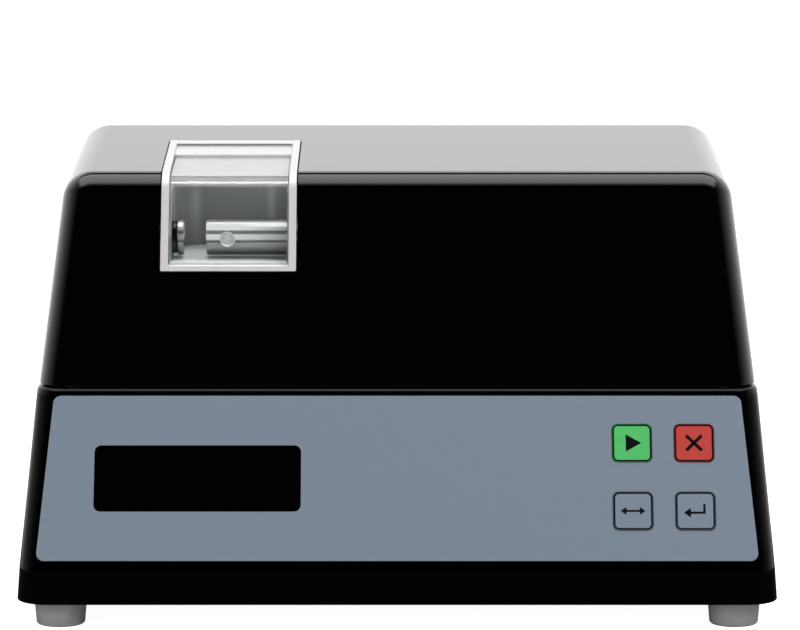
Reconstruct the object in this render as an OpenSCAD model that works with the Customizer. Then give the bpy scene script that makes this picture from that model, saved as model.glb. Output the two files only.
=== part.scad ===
// Bench-top tablet hardness tester, millimetres, +Z up, front towards -Y.
// Origin: centre of the footprint, on the surface that the feet stand on.

/* [Housing] */
// Width of the base at its lower edge
body_w = 330; // [320:1:350]
// Depth of the base at its lower edge
body_d = 238; // [232:1:260]
// Height of the feet
foot_h = 11.5; // [8:0.5:20]
// Diameter of a foot at its top
foot_d = 23.2; // [18:0.2:26]
// Diameter of a foot at the table
foot_tip_d = 21.2; // [14:0.2:22]
// Distance from a side of the base to a foot's centre
foot_inset_x = 18.5; // [16:0.5:24]
// Distance from the front or back of the base to a foot's centre
foot_inset_y = 18.2; // [16:0.5:24]
// Height of the upright skirt below the control panel
skirt_h = 14.7; // [10:0.1:18]
// Height of the seam between base and hood, above the feet
seam_h = 88.1; // [84:0.1:94]
// Width of the shadow gap at the seam
seam_gap = 0.8; // [0.4:0.1:1.5]
// Step from the base's face in to the hood's face
hood_inset = 0.8; // [0.4:0.1:1.5]
// Height of the hood at its front top edge, above the seam, before rounding
hood_rise = 89; // [86:0.5:95]
// Lean of the front face, from upright
face_lean = 28; // [26:0.5:29]
// Slope of the hood's top, rising to the back
top_slope = 4.5; // [3:0.1:5]
// Draft of the base's sides
base_draft = 4.37; // [3:0.01:5]
// Draft of the hood's sides
hood_draft = 5.9; // [4.5:0.1:6.2]
// Draft of the back
back_draft = 6.02; // [4:0.01:6.5]
// Radius of the housing's corners and of the hood's top edges
edge_r = 14; // [12:0.5:16]
// Radius of the base's shoulder at the seam
shoulder_r = 2.5; // [1:0.1:3]
// Wall of both shells
wall = 3; // [2.5:0.1:3.5]
// Thickness of the bottom plate
bottom_t = 2.5; // [1.5:0.1:4]
// Thickness of the deck plate that carries the mechanism
deck_t = 6; // [4:0.5:8]

/* [Control panel] */
// Height of the overlay along the panel
label_h = 75.1; // [72:0.1:76]
// Distance from the bend up to the overlay
label_lift = 4.9; // [4:0.1:6]
// Distance from the base's side to the overlay at its lower edge
label_side_low = 7.4; // [7:0.1:12]
// Distance from the base's side to the overlay at its upper edge
label_side_high = 8.6; // [7:0.1:14]
// Corner radius of the overlay
label_r = 3.5; // [2:0.1:5]
// Thickness of the overlay
label_t = 1; // [0.9:0.05:1.2]
// Depth of the overlay's recess in the base
label_recess = 0.8; // [0.6:0.05:0.85]
// Width of the display window
window_w = 89.8; // [80:0.1:92]
// Height of the display window
window_h = 30.1; // [26:0.1:34]
// Distance from the base's left side to the window's middle
window_in = 78.3; // [75:0.1:82]
// Distance from the bend up to the window's middle
window_l = 42.2; // [40:0.1:46]
// Side of a key
key_w = 17.2; // [14:0.1:19]
// Spacing of the keys across the panel
key_pitch_x = 27; // [24:0.1:30]
// Spacing of the keys up the panel
key_pitch_l = 30.9; // [26:0.1:31]
// Distance from the base's right side to the middle of the key block
keys_in = 49.4; // [47:0.1:55]
// Middle of the key block, above the bend
keys_l = 42.8; // [42:0.1:45]
// Travel of a key
key_travel = 0.5; // [0.3:0.05:0.6]
// Thickness of a key's pad
key_t = 1.6; // [1.3:0.1:1.8]
// Height of a key above the overlay
key_proud = 0.25; // [0.2:0.05:0.5]
// Gap around a key
key_gap = 0.25; // [0.2:0.05:0.4]
// Diameter of a key's stem
key_stem_d = 6; // [4:0.1:8]

/* [Test chamber] */
// Width of the chamber frame
chamber_w = 60; // [56:0.5:64]
// Distance from the base's left side to the chamber's middle
chamber_in = 90.3; // [87:0.1:93]
// Height of the chamber's underside above the seam
chamber_lift = 48.4; // [46:0.1:50]
// Distance from the hood's front top edge to the chamber's back edge
chamber_depth = 76.745; // [75:0.005:84]
// Thickness of a cheek
cheek_t = 3.4; // [2.5:0.1:4]
// Height of the frame above the hood's surface
frame_proud = 0.6; // [0.3:0.1:1]
// Gap between the frame and the hood
frame_gap = 0.6; // [0.4:0.1:1]
// Thickness of the rear bar
rear_bar_t = 4.6; // [3:0.1:5]
// Thickness of the chamber's floor
floor_t = 2; // [1.5:0.1:3]
// Thickness of the liner sheet
liner_t = 1; // [0.8:0.1:1.5]
// Inner radius of the liner's back corners
liner_r = 18; // [12:0.5:20]
// Width of the strip behind the lid, front to back
strip_w = 22.4; // [20:0.1:24]
// Thickness of the strip
strip_t = 2; // [1.5:0.1:3]
// Depth of the strip below the hood's surface
strip_sunk = 0.8; // [0.4:0.1:1.2]
// Height of the strip's downturned back edge
strip_flange = 14; // [8:0.5:20]
// Distance from the strip's front edge to the hinge axis
hinge_setback = 7; // [7:0.1:9]
// Diameter of the hinge pin
hinge_pin_d = 2.5; // [2:0.1:3]
// Running clearance of the hinge pin, on the radius
hinge_clear = 0.05; // [0.02:0.01:0.08]
// Radius of the hinge knuckle
knuckle_r = 2.75; // [2.4:0.05:3]
// Thickness of the clear lid
lid_t = 3; // [2:0.1:3.5]
// Depth of the lid below the hood's surface
lid_sunk = 1.8; // [1.6:0.1:2.2]
// Outer radius of the lid's fold
lid_fold_r = 6; // [4:0.5:8]
// Gap between the lid and the cheeks
lid_gap = 0.4; // [0.3:0.1:0.8]
// Width of the rail bonded under the lid
rail_w = 14; // [12:0.5:18]
// Thickness of the rail
rail_t = 1.6; // [1.2:0.1:2]

/* [Load train] */
// Height of the load axis above the chamber's underside
load_lift = 11.3; // [10.5:0.1:13]
// Distance from the hood's front top edge back to the load axis
load_set = 4.745; // [4:0.005:7]
// Diameter of the moving jaw
jaw_d = 16; // [12:0.1:17]
// Diameter of the fixed platen
platen_d = 16; // [12:0.1:17]
// Thickness of the fixed platen
platen_t = 2.8; // [2:0.1:3]
// Distance from the left cheek's outer face to the platen's back
platen_stand = 6.8; // [6:0.1:8]
// Gap between platen and jaw as stored
tablet_gap = 10; // [10:0.5:12]
// Travel of the jaw towards the platen
jaw_close = 9.5; // [5:0.5:9.5]
// Travel of the jaw away from the platen
jaw_open = 20; // [10:0.5:20]
// Length of the jaw's sleeve
sleeve_l = 48; // [44:0.5:54]
// Diameter of the shaft in the sleeve
shaft_d = 10; // [8:0.1:10.5]
// Depth of the sleeve's solid tip
sleeve_tip = 4.5; // [3:0.1:6]
// Distance from the jaw's face to the grub screw
grub_x = 9.5; // [8:0.1:12]
// Diameter of the grub screw's hole
grub_d = 6.2; // [5:0.1:6.5]
// Clearance around jaw and stem where they pass the chamber's walls
pass_gap = 0.7; // [0.5:0.1:1]
// Diameter of the platen's stem
stem_d = 8; // [6:0.1:10]
// Diameter of the hole in the left wall
stem_hole_d = 16; // [14:0.1:18]
// Length of the load cell
cell_l = 22; // [18:0.5:24]
// Height of the load cell
cell_h = 24; // [20:0.5:26]
// Width of the load cell
cell_w = 12.7; // [10:0.1:14]
// Distance from the left cheek to the load cell
cell_stand = 5.3; // [4:0.1:6]
// Thickness of the left end plate
left_plate_t = 8; // [6:0.5:9]
// Thickness of the right end plate
right_plate_t = 10; // [9:0.5:12]
// Distance from the base's right side to the right end plate
right_plate_in = 105; // [103:0.5:107]
// Distance from the chamber's middle to the crosshead
crosshead_out = 78.7; // [77:0.1:81]
// Thickness of the crosshead
crosshead_t = 12; // [10:0.5:14]
// Diameter of a guide rod
rod_d = 8; // [6:0.1:9]
// Height of the guide rods above the deck
rod_lift = 21; // [20:0.5:24]
// Distance from the load axis forward to the front guide rod
rod_front_set = 19; // [17:0.5:21]
// Distance from the load axis back to the rear guide rod
rod_back_set = 43; // [41:0.5:45]
// Outer diameter of a guide bush
bush_d = 12; // [11.5:0.1:13]
// Length of a guide bush
bush_l = 24; // [20:0.5:26]
// Clearance of the sliding and turning fits, on the radius
fit_clear = 0.04; // [0.02:0.01:0.08]
// Height of the lead screw above the deck
screw_lift = 29; // [28:0.5:31]
// Distance from the load axis back to the lead screw
screw_set = 12; // [10:0.5:14]
// Diameter of the lead screw
screw_d = 8; // [6:0.1:8.5]
// Outer diameter of the screw's bearing
bearing_d = 22; // [18:0.1:24]
// Width of the screw's bearing
bearing_w = 7; // [5:0.1:8]
// Diameter of the nut's body
nut_d = 10.2; // [9.5:0.1:12]
// Diameter of the nut's flange
nut_flange_d = 21; // [19:0.1:22]
// Thickness of the nut's flange
nut_flange_t = 3.5; // [2.5:0.1:4]
// Outer diameter of the shaft coupling
coupling_d = 19; // [16:0.1:20]
// Length of the shaft coupling
coupling_l = 24; // [22:0.5:26]
// Side of the square motor
motor_w = 42.3; // [40:0.1:43]
// Length of the motor
motor_l = 38; // [30:0.5:40]
// Distance between the motor's fixing holes
motor_pitch = 31; // [30:0.1:31.5]
// Diameter of the motor's shaft
motor_shaft_d = 5; // [4:0.1:6]
// Thickness of the motor plate
motor_plate_t = 4; // [3:0.5:5]
// Length of the standoffs between the right end plate and the motor plate
standoff_l = 30; // [28:0.5:31]
// Diameter of those standoffs
standoff_d = 7; // [6:0.1:8]

/* [Rear panel] */
// Width of the rear panel
rear_w = 150; // [140:1:170]
// Height of the rear panel
rear_h = 50; // [44:0.5:56]
// Height of the rear panel's middle above the base's lower edge
rear_lift = 44; // [40:0.5:46]
// Thickness of the rear panel
rear_t = 2; // [1.5:0.1:2.5]
// Distance of the power inlet left of the centre, seen from the front
inlet_x = 44; // [40:0.5:50]
// Width of the inlet's socket
inlet_w = 24.5; // [24:0.1:25]
// Height of the inlet's socket
inlet_h = 16.5; // [16:0.1:17]
// Depth of the inlet's socket
inlet_depth = 14; // [12:0.5:16]
// Wall around the inlet's socket
inlet_wall = 1.6; // [1.2:0.1:2]
// Distance of the mains rocker left of the centre, seen from the front
rocker_x = 8; // [6:0.5:12]
// Width of the rocker
rocker_w = 12; // [11:0.1:14]
// Height of the rocker
rocker_h = 19; // [18:0.1:22]
// Tip of the rocker to each side, in degrees
rocker_tip = 8; // [5:0.5:10]
// Distance of the data port right of the centre, seen from the front
port_x = 45; // [40:0.5:50]
// Width of the data port's opening
port_w = 8.4; // [8:0.1:9]
// Height of the data port's opening
port_h = 7.8; // [7:0.1:8]

/* [Hidden] */
$fn = 48;
corner_fn = 32;
arc_steps = 16;
thin = 0.02;
// Cuts run past the faces that they open by this much
over = 1;
// Larger than the whole part
far = 400;
// Small clearances, seats and radii
plate_margin = 9.5;
screw_spare = 12;
hinge_gap = 0.05;
lid_lift = 0.3;
knuckle_gap = 0.8;
inner_shoulder_r = 1;
label_gap = 0.2;
window_r = 3;
window_seat = 2;
key_r = 2.5;
stem_gap = 0.75;
rear_r = 3;
rear_gap = 0.2;
rear_seat_x = 7;
rear_seat_y = 5;

// Heights above the table
bottom_z = foot_h;
bend_z = bottom_z + skirt_h;
base_top_z = bottom_z + seam_h;
hood_z = base_top_z + seam_gap;
edge_z = base_top_z + hood_rise;
deck_z = base_top_z;
deck_top_z = deck_z + deck_t;
chamber_z = base_top_z + chamber_lift;
floor_z = chamber_z + floor_t;
load_z = chamber_z + load_lift;
rod_z = deck_top_z + rod_lift;
screw_z = deck_top_z + screw_lift;

// Planes of the housing: each gives a place for a height, s is the distance in from the surface
function base_front(z, s = 0) =
    -body_d / 2 + max(0, z - bend_z) * tan(face_lean) + (z > bend_z ? s / cos(face_lean) : s);
function base_side(z, s = 0) = body_w / 2 - (z - bottom_z) * tan(base_draft) - s / cos(base_draft);
function base_back(z, s = 0) = body_d / 2 - (z - bottom_z) * tan(back_draft) - s / cos(back_draft);
function hood_front(z, s = 0) =
    -body_d / 2 + (z - bend_z) * tan(face_lean) + (hood_inset + s) / cos(face_lean);
function hood_side(z, s = 0) =
    base_side(base_top_z) - hood_inset - (z - hood_z) * tan(hood_draft) - s / cos(hood_draft);
function hood_back(z, s = 0) = base_back(z, hood_inset + s);
edge_y = hood_front(edge_z);
function hood_top(y, s = 0) = edge_z + (y - edge_y) * tan(top_slope) - s / cos(top_slope);

// Crossing of the front face with the top, both moved in by s, and of the top with the back
function front_edge(s) = let (
        a = tan(face_lean),
        b = tan(top_slope),
        y0 = hood_front(edge_z, s),
        z0 = hood_top(edge_y, s),
        y = (y0 + a * (z0 - edge_z - edge_y * b)) / (1 - a * b)
    ) [y, z0 + (y - edge_y) * b];
function back_edge(s) = let (
        a = tan(back_draft),
        b = tan(top_slope),
        y0 = hood_back(0, s),
        z0 = hood_top(0, s),
        y = (y0 - a * z0) / (1 + a * b)
    ) [y, z0 + y * b];

// Places on the control panel
label_half_low = base_side(bend_z + label_lift * cos(face_lean)) - label_side_low;
label_half_high = base_side(bend_z + (label_lift + label_h) * cos(face_lean)) - label_side_high;
window_x = body_w / 2 - window_in;
keys_x = body_w / 2 - keys_in;

// Chamber
chamber_x = body_w / 2 - chamber_in;
chamber_back = edge_y + chamber_depth;
chamber_left = -chamber_x - chamber_w / 2;
chamber_right = -chamber_x + chamber_w / 2;
inner_left = chamber_left + cheek_t;
inner_right = chamber_right - cheek_t;
strip_back_y = chamber_back - rear_bar_t;
strip_front_y = strip_back_y - strip_w;
liner_back_y = strip_front_y + liner_t;
lid_under = lid_sunk + lid_t;
axis_y = strip_front_y - hinge_setback;
axis_z = hood_top(axis_y, lid_under) - knuckle_r - hinge_gap;
lid_bottom_z = floor_z + lid_lift;

// Load train, along X
load_y = edge_y + load_set;
screw_y = load_y + screw_set;
rod_front_y = load_y - rod_front_set;
rod_back_y = load_y + rod_back_set;
right_plate_x = body_w / 2 - right_plate_in;
crosshead_x = crosshead_out - chamber_x;
platen_x = chamber_left + platen_stand;
jaw_x = platen_x + platen_t + tablet_gap;
cell_right = chamber_left - cell_stand;
cell_left = cell_right - cell_l;
left_plate_x = cell_left - left_plate_t;
plate_foot_y = [rod_front_y - plate_margin, rod_back_y + plate_margin];
motor_plate_x = right_plate_x + right_plate_t + standoff_l;
motor_x = motor_plate_x + motor_plate_t;
motor_tap = 6;
coupling_x = right_plate_x + right_plate_t + (standoff_l - coupling_l) / 2;
screw_left = crosshead_x - jaw_close - screw_spare;
jaw_centre = [load_y, load_z];
screw_centre = [screw_y, screw_z];
rod_centres = [[rod_front_y, rod_z], [rod_back_y, rod_z]];
motor_holes = [for (i = [-1, 1]) for (j = [-1, 1]) screw_centre + [i, j] * motor_pitch / 2];

// Post and screw places
hood_post_d = 10;
hood_post_x = body_w / 2 - 27;
hood_post_ys = [57 - body_d / 2, body_d / 2 - 31];
deck_half_x = body_w / 2 - 19;
deck_open_x = body_w / 2 - 37;
deck_open_ys = [67 - body_d / 2, body_d / 2 - 39];
deck_screw_x = body_w / 2 - 55;
deck_screw_ys = [61 - body_d / 2, body_d / 2 - 33];
chamber_post_d = 8;
chamber_post_xs = [inner_left + chamber_post_d / 2 + 1, inner_right - chamber_post_d / 2 - 1];
chamber_post_ys = [load_y - 7, chamber_back - 9];
deck_gap = 1;
corner_block = 30;
corner_block_h = 16;
foot_seat = 4;
m4_clear = 0.5;
m3_clear = 0.4;
m4_d = 4;
m4_head_d = 7.5;
m4_head_t = 2.4;
m3_d = 3;
m3_head_d = 5.6;
m3_head_t = 2;
hood_screw_grip = 10;
foot_screw_grip = 9;

housing_black = [0.03, 0.03, 0.035];
label_blue = [0.47, 0.52, 0.58];
steel = [0.78, 0.78, 0.8];
alloy = [0.68, 0.69, 0.71];
board_green = [0.1, 0.35, 0.2];

// Four copies at the corners of a rectangle
module at_corners(x, y0, y1) {
    for (sx = [-1, 1])
        for (y = [y0, y1])
            translate([sx * x, y, 0]) children();
}

// Drawing along X: the 2D shape's x is Y and its y is Z
module along_x(x0, x1) {
    translate([x0, 0, 0])
        rotate([90, 0, 90])
            linear_extrude(height = x1 - x0)
                children();
}

// Round bar along X, centred on a point [y, z]
module bar_x(x0, x1, c, d) {
    translate([x0, c[0], c[1]])
        rotate([0, 90, 0])
            cylinder(d = d, h = x1 - x0);
}

// Rectangle with round corners, centred
module round_rect(w, h, r) {
    union() {
        square([w - 2 * r, h], center = true);
        square([w, h - 2 * r], center = true);
        for (i = [-1, 1])
            for (j = [-1, 1])
                translate([i * (w / 2 - r), j * (h / 2 - r)])
                    circle(r = r);
    }
}

// Frame of the sloping panel: x across, y up the slope from the bend, z outwards
module on_panel(x = 0, l = 0, out = 0) {
    translate([0, base_front(bend_z), bend_z])
        rotate([90 - face_lean, 0, 0])
            translate([x, l, out])
                children();
}

// Frame of the rear panel: x across, y up, z outwards, origin at the panel's middle
module on_rear(x = 0, y = 0, out = 0) {
    z = bottom_z + rear_lift;
    translate([0, base_back(z), z])
        rotate([back_draft, 0, 0])
            rotate([90, 0, 180])
                translate([-x, y, out])
                    children();
}

// Four thin discs at one height of a drafted box, s inside its surface
module corner_discs(z, half_x, y0, y1, r) {
    translate([0, 0, z])
        at_corners(half_x - r, y0 + r, y1 - r)
            cylinder(r = r, h = thin, $fn = corner_fn);
}

// Base as a solid, s inside its outer faces, from z0 up to z1
module base_solid(s, z0, z1, top_r) {
    r = edge_r - s;
    // Centres of the shoulder's corners, set back so that the front face stays flat up to its rounding
    half_x = base_side(z1 - top_r, s) - r;
    y0 = base_front(z1 - top_r, s) + r + top_r * (1 / cos(face_lean) - 1);
    y1 = base_back(z1 - top_r, s) - r;
    hull() {
        corner_discs(z0, base_side(z0, s), base_front(bend_z, s), base_back(z0, s), r);
        corner_discs(bend_z, base_side(bend_z, s), base_front(bend_z, s), base_back(bend_z, s), r);
        translate([0, 0, z1 - top_r])
            at_corners(half_x, y0, y1)
                rotate_extrude($fn = corner_fn)
                    translate([r - top_r, 0])
                        intersection() {
                            circle(r = top_r, $fn = 24);
                            translate([0, -top_r]) square([top_r, 2 * top_r]);
                        }
    }
}

// Hood as a solid, s inside its outer faces
module hood_solid(s, z0) {
    r = edge_r - s;
    f = front_edge(s);
    b = back_edge(s);
    // Centres of the top's rounding, at the distance r from both faces
    tf = (90 - face_lean - top_slope) / 2;
    tb = (90 - back_draft + top_slope) / 2;
    lf = r / cos(tf);
    lb = r / cos(tb);
    front_c = f + lf * [cos(face_lean + tf), -sin(face_lean + tf)];
    back_c = b + lb * [-cos(back_draft + tb), -sin(back_draft + tb)];
    hull() {
        corner_discs(z0, hood_side(z0, s), hood_front(z0, s), hood_back(z0, s), r);
        for (c = [front_c, back_c])
            for (sx = [-1, 1])
                translate([sx * (hood_side(c[1], s) - r / cos(hood_draft)), c[0], c[1]])
                        sphere(r = r, $fn = corner_fn + 8);
    }
}

// Region inside the hood's surface in the Y-Z plane, moved in by s, down to z0, back to y1
module top_profile(s, z0, y1, r) {
    turn = 90 - face_lean - top_slope;
    c = front_edge(s) + r / cos(turn / 2) * [cos(face_lean + turn / 2), -sin(face_lean + turn / 2)];
    arc = [for (i = [0:arc_steps])
        let (a = 180 - face_lean - turn * i / arc_steps) c + r * [cos(a), sin(a)]];
    polygon(concat([[hood_front(z0, s), z0]], arc, [[y1, hood_top(y1, s)], [y1, z0]]));
}

// Housing
module base_shell() {
    cavity_top = base_top_z - wall;
    color(housing_black)
        difference() {
            base_solid(0, bottom_z, base_top_z, shoulder_r);
            // Hollow, with a block left in each corner for a foot's screw
            difference() {
                base_solid(wall, bottom_z - over, cavity_top, inner_shoulder_r);
                for (sx = [-1, 1])
                    for (sy = [-1, 1])
                        translate([
                            sx * (body_w / 2) - corner_block / 2,
                            sy * (body_d / 2) - corner_block / 2,
                            bottom_z + bottom_t
                        ])
                            cube([corner_block, corner_block, corner_block_h]);
            }
            // Opening under the deck
            translate([-deck_open_x, deck_open_ys[0], cavity_top - over])
                cube([2 * deck_open_x, deck_open_ys[1] - deck_open_ys[0], wall + 2 * over]);
            foot_places() translate([0, 0, bottom_z]) cylinder(d = m4_d, h = foot_screw_grip + over);
            deck_screw_places() translate([0, 0, cavity_top - over])
                cylinder(d = m4_d, h = wall + 2 * over);
            hood_post_places() translate([0, 0, cavity_top - over])
                cylinder(d = m4_head_d + 2 * m4_clear, h = wall + 2 * over);
            // Recess of the overlay, opening of the display, pockets and holes of the keys
            on_panel(out = -label_recess) linear_extrude(height = wall) label_outline(label_gap);
            on_panel(-window_x, window_l, -wall - over)
                linear_extrude(height = wall + 2 * over)
                    round_rect(window_w - 2 * window_seat, window_h - 2 * window_seat, window_r - over);
            key_places() {
                translate([0, 0, key_pocket])
                    linear_extrude(height = wall) round_rect(key_w + 1, key_w + 1, 2);
                translate([0, 0, -wall - over])
                    cylinder(d = key_stem_d + 2 * stem_gap, h = wall + 2 * over);
            }
            // Opening of the rear panel, with a seat for it
            on_rear(out = -rear_t)
                linear_extrude(height = wall)
                    round_rect(rear_w + 2 * rear_gap, rear_h + 2 * rear_gap, rear_r);
            on_rear(out = -wall - over)
                linear_extrude(height = wall + 2 * over)
                    round_rect(rear_w - 2 * rear_seat_x, rear_h - 2 * rear_seat_y, rear_r);
            rear_screw_places() translate([0, 0, -wall - over]) cylinder(d = m3_d, h = wall + 2 * over);
        }
}

module hood() {
    color(housing_black)
        difference() {
            hood_solid(0, hood_z);
            // Hollow, with the four posts left standing
            difference() {
                hood_solid(wall, hood_z - over);
                hood_post_places()
                    translate([0, 0, deck_top_z]) cylinder(d = hood_post_d, h = far);
            }
            translate([chamber_left - frame_gap, -body_d / 2, chamber_z - frame_gap])
                cube([chamber_w + 2 * frame_gap, body_d / 2 + chamber_back + frame_gap, hood_rise]);
            hood_post_places() translate([0, 0, hood_z - over])
                cylinder(d = m4_d, h = deck_t + hood_screw_grip + 2 * over);
        }
}

module bottom_plate() {
    z = bottom_z;
    slot_w = 3;
    slot_l = 40;
    slot_pitch = 8;
    half_x = base_side(bottom_z + bottom_t, wall + 0.3);
    half_y = base_back(bottom_z + bottom_t, wall + 0.3);
    color(alloy)
        difference() {
            translate([0, 0, z])
                linear_extrude(height = bottom_t)
                    round_rect(2 * half_x, 2 * half_y, edge_r - wall);
            foot_places() translate([0, 0, z - over])
                cylinder(d = m4_d + m4_clear, h = bottom_t + 2 * over);
            // Cooling slots
            for (i = [-6:6])
                translate([i * slot_pitch, 0, z - over])
                    linear_extrude(height = bottom_t + 2 * over)
                        round_rect(slot_w, slot_l, slot_w / 2 - 0.1);
        }
}

module foot_places() {
    at_corners(body_w / 2 - foot_inset_x, -body_d / 2 + foot_inset_y, body_d / 2 - foot_inset_y) children();
}

module feet() {
    tip = 1.2;
    color([0.42, 0.42, 0.43])
        foot_places()
            difference() {
                rotate_extrude()
                    union() {
                        polygon([
                            [0, 0],
                            [foot_tip_d / 2 - tip, 0],
                            [foot_tip_d / 2, tip],
                            [foot_d / 2, foot_h],
                            [0, foot_h]
                        ]);
                        translate([foot_tip_d / 2 - tip, tip]) intersection() {
                            circle(r = tip, $fn = 32);
                            translate([0, -tip]) square([tip, tip]);
                        }
                    }
                translate([0, 0, -over])
                    cylinder(d = m4_head_d + 2 * m4_clear, h = foot_h - foot_seat + over);
                cylinder(d = m4_d + m4_clear, h = foot_h + over);
            }
}

module foot_screws() {
    seat = foot_h - foot_seat;
    color(steel)
        foot_places()
            union() {
                translate([0, 0, seat - m4_head_t]) screw_head(m4_head_d, m4_head_t);
                translate([0, 0, seat]) cylinder(d = m4_d, h = foot_seat + foot_screw_grip);
            }
}

// Round screw head with a cross recess, its underside towards +Z
module screw_head(d, t) {
    difference() {
        cylinder(d = d, h = t);
        for (a = [0, 90])
            rotate([0, 0, a])
                translate([-d * 0.28, -d * 0.06, -1])
                    cube([d * 0.56, d * 0.12, 1 + t * 0.5]);
    }
}

module hood_post_places() {
    at_corners(hood_post_x, hood_post_ys[0], hood_post_ys[1]) children();
}

module deck_screw_places() {
    for (x = [-deck_screw_x, deck_screw_x])
        for (y = deck_screw_ys)
            translate([x, y, 0]) children();
}

module deck_plate() {
    front = hood_front(deck_top_z, wall + deck_gap);
    back = hood_back(deck_top_z, wall + deck_gap);
    color(alloy)
        difference() {
            translate([0, (front + back) / 2, deck_z])
                linear_extrude(height = deck_t)
                    round_rect(2 * deck_half_x, back - front, edge_r - wall);
            deck_screw_places() translate([0, 0, deck_z - over])
                cylinder(d = m4_d + m4_clear, h = deck_t + 2 * over);
            hood_post_places() translate([0, 0, deck_z - over])
                cylinder(d = m4_d + m4_clear, h = deck_t + 2 * over);
            // Cable passages
            for (x = [-30, 100])
                translate([x, 60, deck_z - over]) cylinder(d = 16, h = deck_t + 2 * over);
        }
}

module deck_screws() {
    color(steel)
        deck_screw_places()
            union() {
                translate([0, 0, deck_top_z + m4_head_t])
                    mirror([0, 0, 1]) screw_head(m4_head_d, m4_head_t);
                translate([0, 0, deck_z - wall]) cylinder(d = m4_d, h = deck_t + wall);
            }
}

module hood_screws() {
    color(steel)
        hood_post_places()
            union() {
                translate([0, 0, deck_z - m4_head_t]) screw_head(m4_head_d, m4_head_t);
                translate([0, 0, deck_z]) cylinder(d = m4_d, h = deck_t + hood_screw_grip);
            }
}

// Control panel
module label_outline(grow = 0) {
    low = label_half_low + grow;
    high = label_half_high + grow;
    y0 = label_lift - grow;
    y1 = label_lift + label_h + grow;
    r = label_r;
    side = (low - high) / (y1 - y0);
    function half(y) = low - (y - y0) * side - r;
    union() {
        polygon([
            [-half(y0 + r), y0], [half(y0 + r), y0],
            [half(y0 + r) + r, y0 + r], [half(y1 - r) + r, y1 - r],
            [half(y1 - r), y1], [-half(y1 - r), y1],
            [-half(y1 - r) - r, y1 - r], [-half(y0 + r) - r, y0 + r]
        ]);
        for (sx = [-1, 1])
            for (y = [y0 + r, y1 - r])
                translate([sx * half(y), y]) circle(r = r);
    }
}

pcb_t = 1.6;
post_l = 5.4;
display_stand = 7;
key_pocket = label_t - label_recess + key_proud - key_t - key_travel - 0.4;
key_spots = [for (j = [1, -1]) for (i = [-1, 1])
    [keys_x + i * key_pitch_x / 2, keys_l + j * key_pitch_l / 2]];

module key_places() {
    for (k = key_spots)
        on_panel(k[0], k[1]) children();
}

module panel_overlay() {
    color(label_blue)
        difference() {
            on_panel(out = -label_recess) linear_extrude(height = label_t) label_outline();
            on_panel(-window_x, window_l, -label_recess - 1)
                linear_extrude(height = label_t + 2 * over) round_rect(window_w, window_h, window_r);
            key_places()
                translate([0, 0, -label_recess - over])
                    linear_extrude(height = label_t + 2 * over)
                        round_rect(key_w + 2 * key_gap, key_w + 2 * key_gap, key_r + key_gap);
        }
}

module display_window() {
    fit = 0.1;
    color([0.01, 0.01, 0.012])
        on_panel(-window_x, window_l, -label_recess)
            linear_extrude(height = label_t - 0.1)
                round_rect(window_w - 2 * fit, window_h - 2 * fit, window_r - fit);
}

module display_module() {
    color([0.12, 0.2, 0.14])
        on_panel(-window_x, window_l, -wall - display_stand)
            union() {
                linear_extrude(height = pcb_t) square([window_w + 8, window_h + 10], center = true);
                translate([0, 0, pcb_t])
                    linear_extrude(height = display_stand - pcb_t)
                        square([window_w + 6, window_h + 9], center = true);
            }
}

module keypad_board() {
    color(board_green)
        on_panel(keys_x, keys_l, -wall - post_l - pcb_t)
            difference() {
                linear_extrude(height = pcb_t)
                    square([key_pitch_x + key_w + 8, key_pitch_l + key_w + 10], center = true);
                post_spots() translate([0, 0, -over])
                    cylinder(d = m3_d + m3_clear, h = pcb_t + 2 * over);
            }
}

// Posts of the keypad's board, between its two rows of keys
module post_spots() {
    for (i = [-1, 1])
        translate([i * (key_pitch_x + key_w) / 2, 0, 0]) children();
}

module board_posts() {
    color(alloy)
        on_panel(keys_x, keys_l, -wall - post_l)
            post_spots()
                difference() {
                    cylinder(d = m3_d + 3, h = post_l);
                    translate([0, 0, -over]) cylinder(d = m3_d, h = post_l * 0.55 + over);
                }
}

key_stem_end = -wall - 1;

module key_switches() {
    body_h = 2.2;
    board_top = -wall - post_l;
    switch_w = 6;
    button_top = key_stem_end - key_travel - 0.1;
    color([0.15, 0.15, 0.16])
        key_places()
            translate([0, 0, board_top])
                union() {
                    linear_extrude(height = body_h) square(switch_w, center = true);
                    cylinder(d = 3.4, h = button_top - board_top);
                }
}

// A key: a thin pad with round corners on a stem that reaches its switch
module key_cap(i, shade) {
    top = label_t - label_recess + key_proud;
    color(shade)
        on_panel(key_spots[i][0], key_spots[i][1])
            union() {
                translate([0, 0, top - key_t]) linear_extrude(height = key_t)
                    round_rect(key_w, key_w, key_r);
                translate([0, 0, key_stem_end])
                    cylinder(d = key_stem_d, h = top - key_t / 2 - key_stem_end);
            }
}

module key_start() { key_cap(0, [0.22, 0.72, 0.3]); }
module key_cancel() { key_cap(1, [0.75, 0.2, 0.2]); }
module key_size() { key_cap(2, label_blue); }
module key_enter() { key_cap(3, label_blue); }

// Test chamber
module chamber_floor() {
    color(steel)
        along_x(inner_left, inner_right)
            intersection() {
                top_profile(-frame_proud, chamber_z, chamber_back, edge_r + frame_proud);
                translate([-far / 2, chamber_z]) square([far, floor_t]);
            }
}

module cheek(x) {
    hole_d = x < -chamber_x ? stem_hole_d : jaw_d + 2 * pass_gap;
    color(steel)
        difference() {
            along_x(x, x + cheek_t)
                top_profile(-frame_proud, chamber_z, chamber_back, edge_r + frame_proud);
            bar_x(x - over, x + cheek_t + over, [axis_y, axis_z], hinge_pin_d);
            bar_x(x - over, x + cheek_t + over, jaw_centre, hole_d);
        }
}

module left_cheek() { cheek(chamber_left); }
module right_cheek() { cheek(inner_right); }

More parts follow.
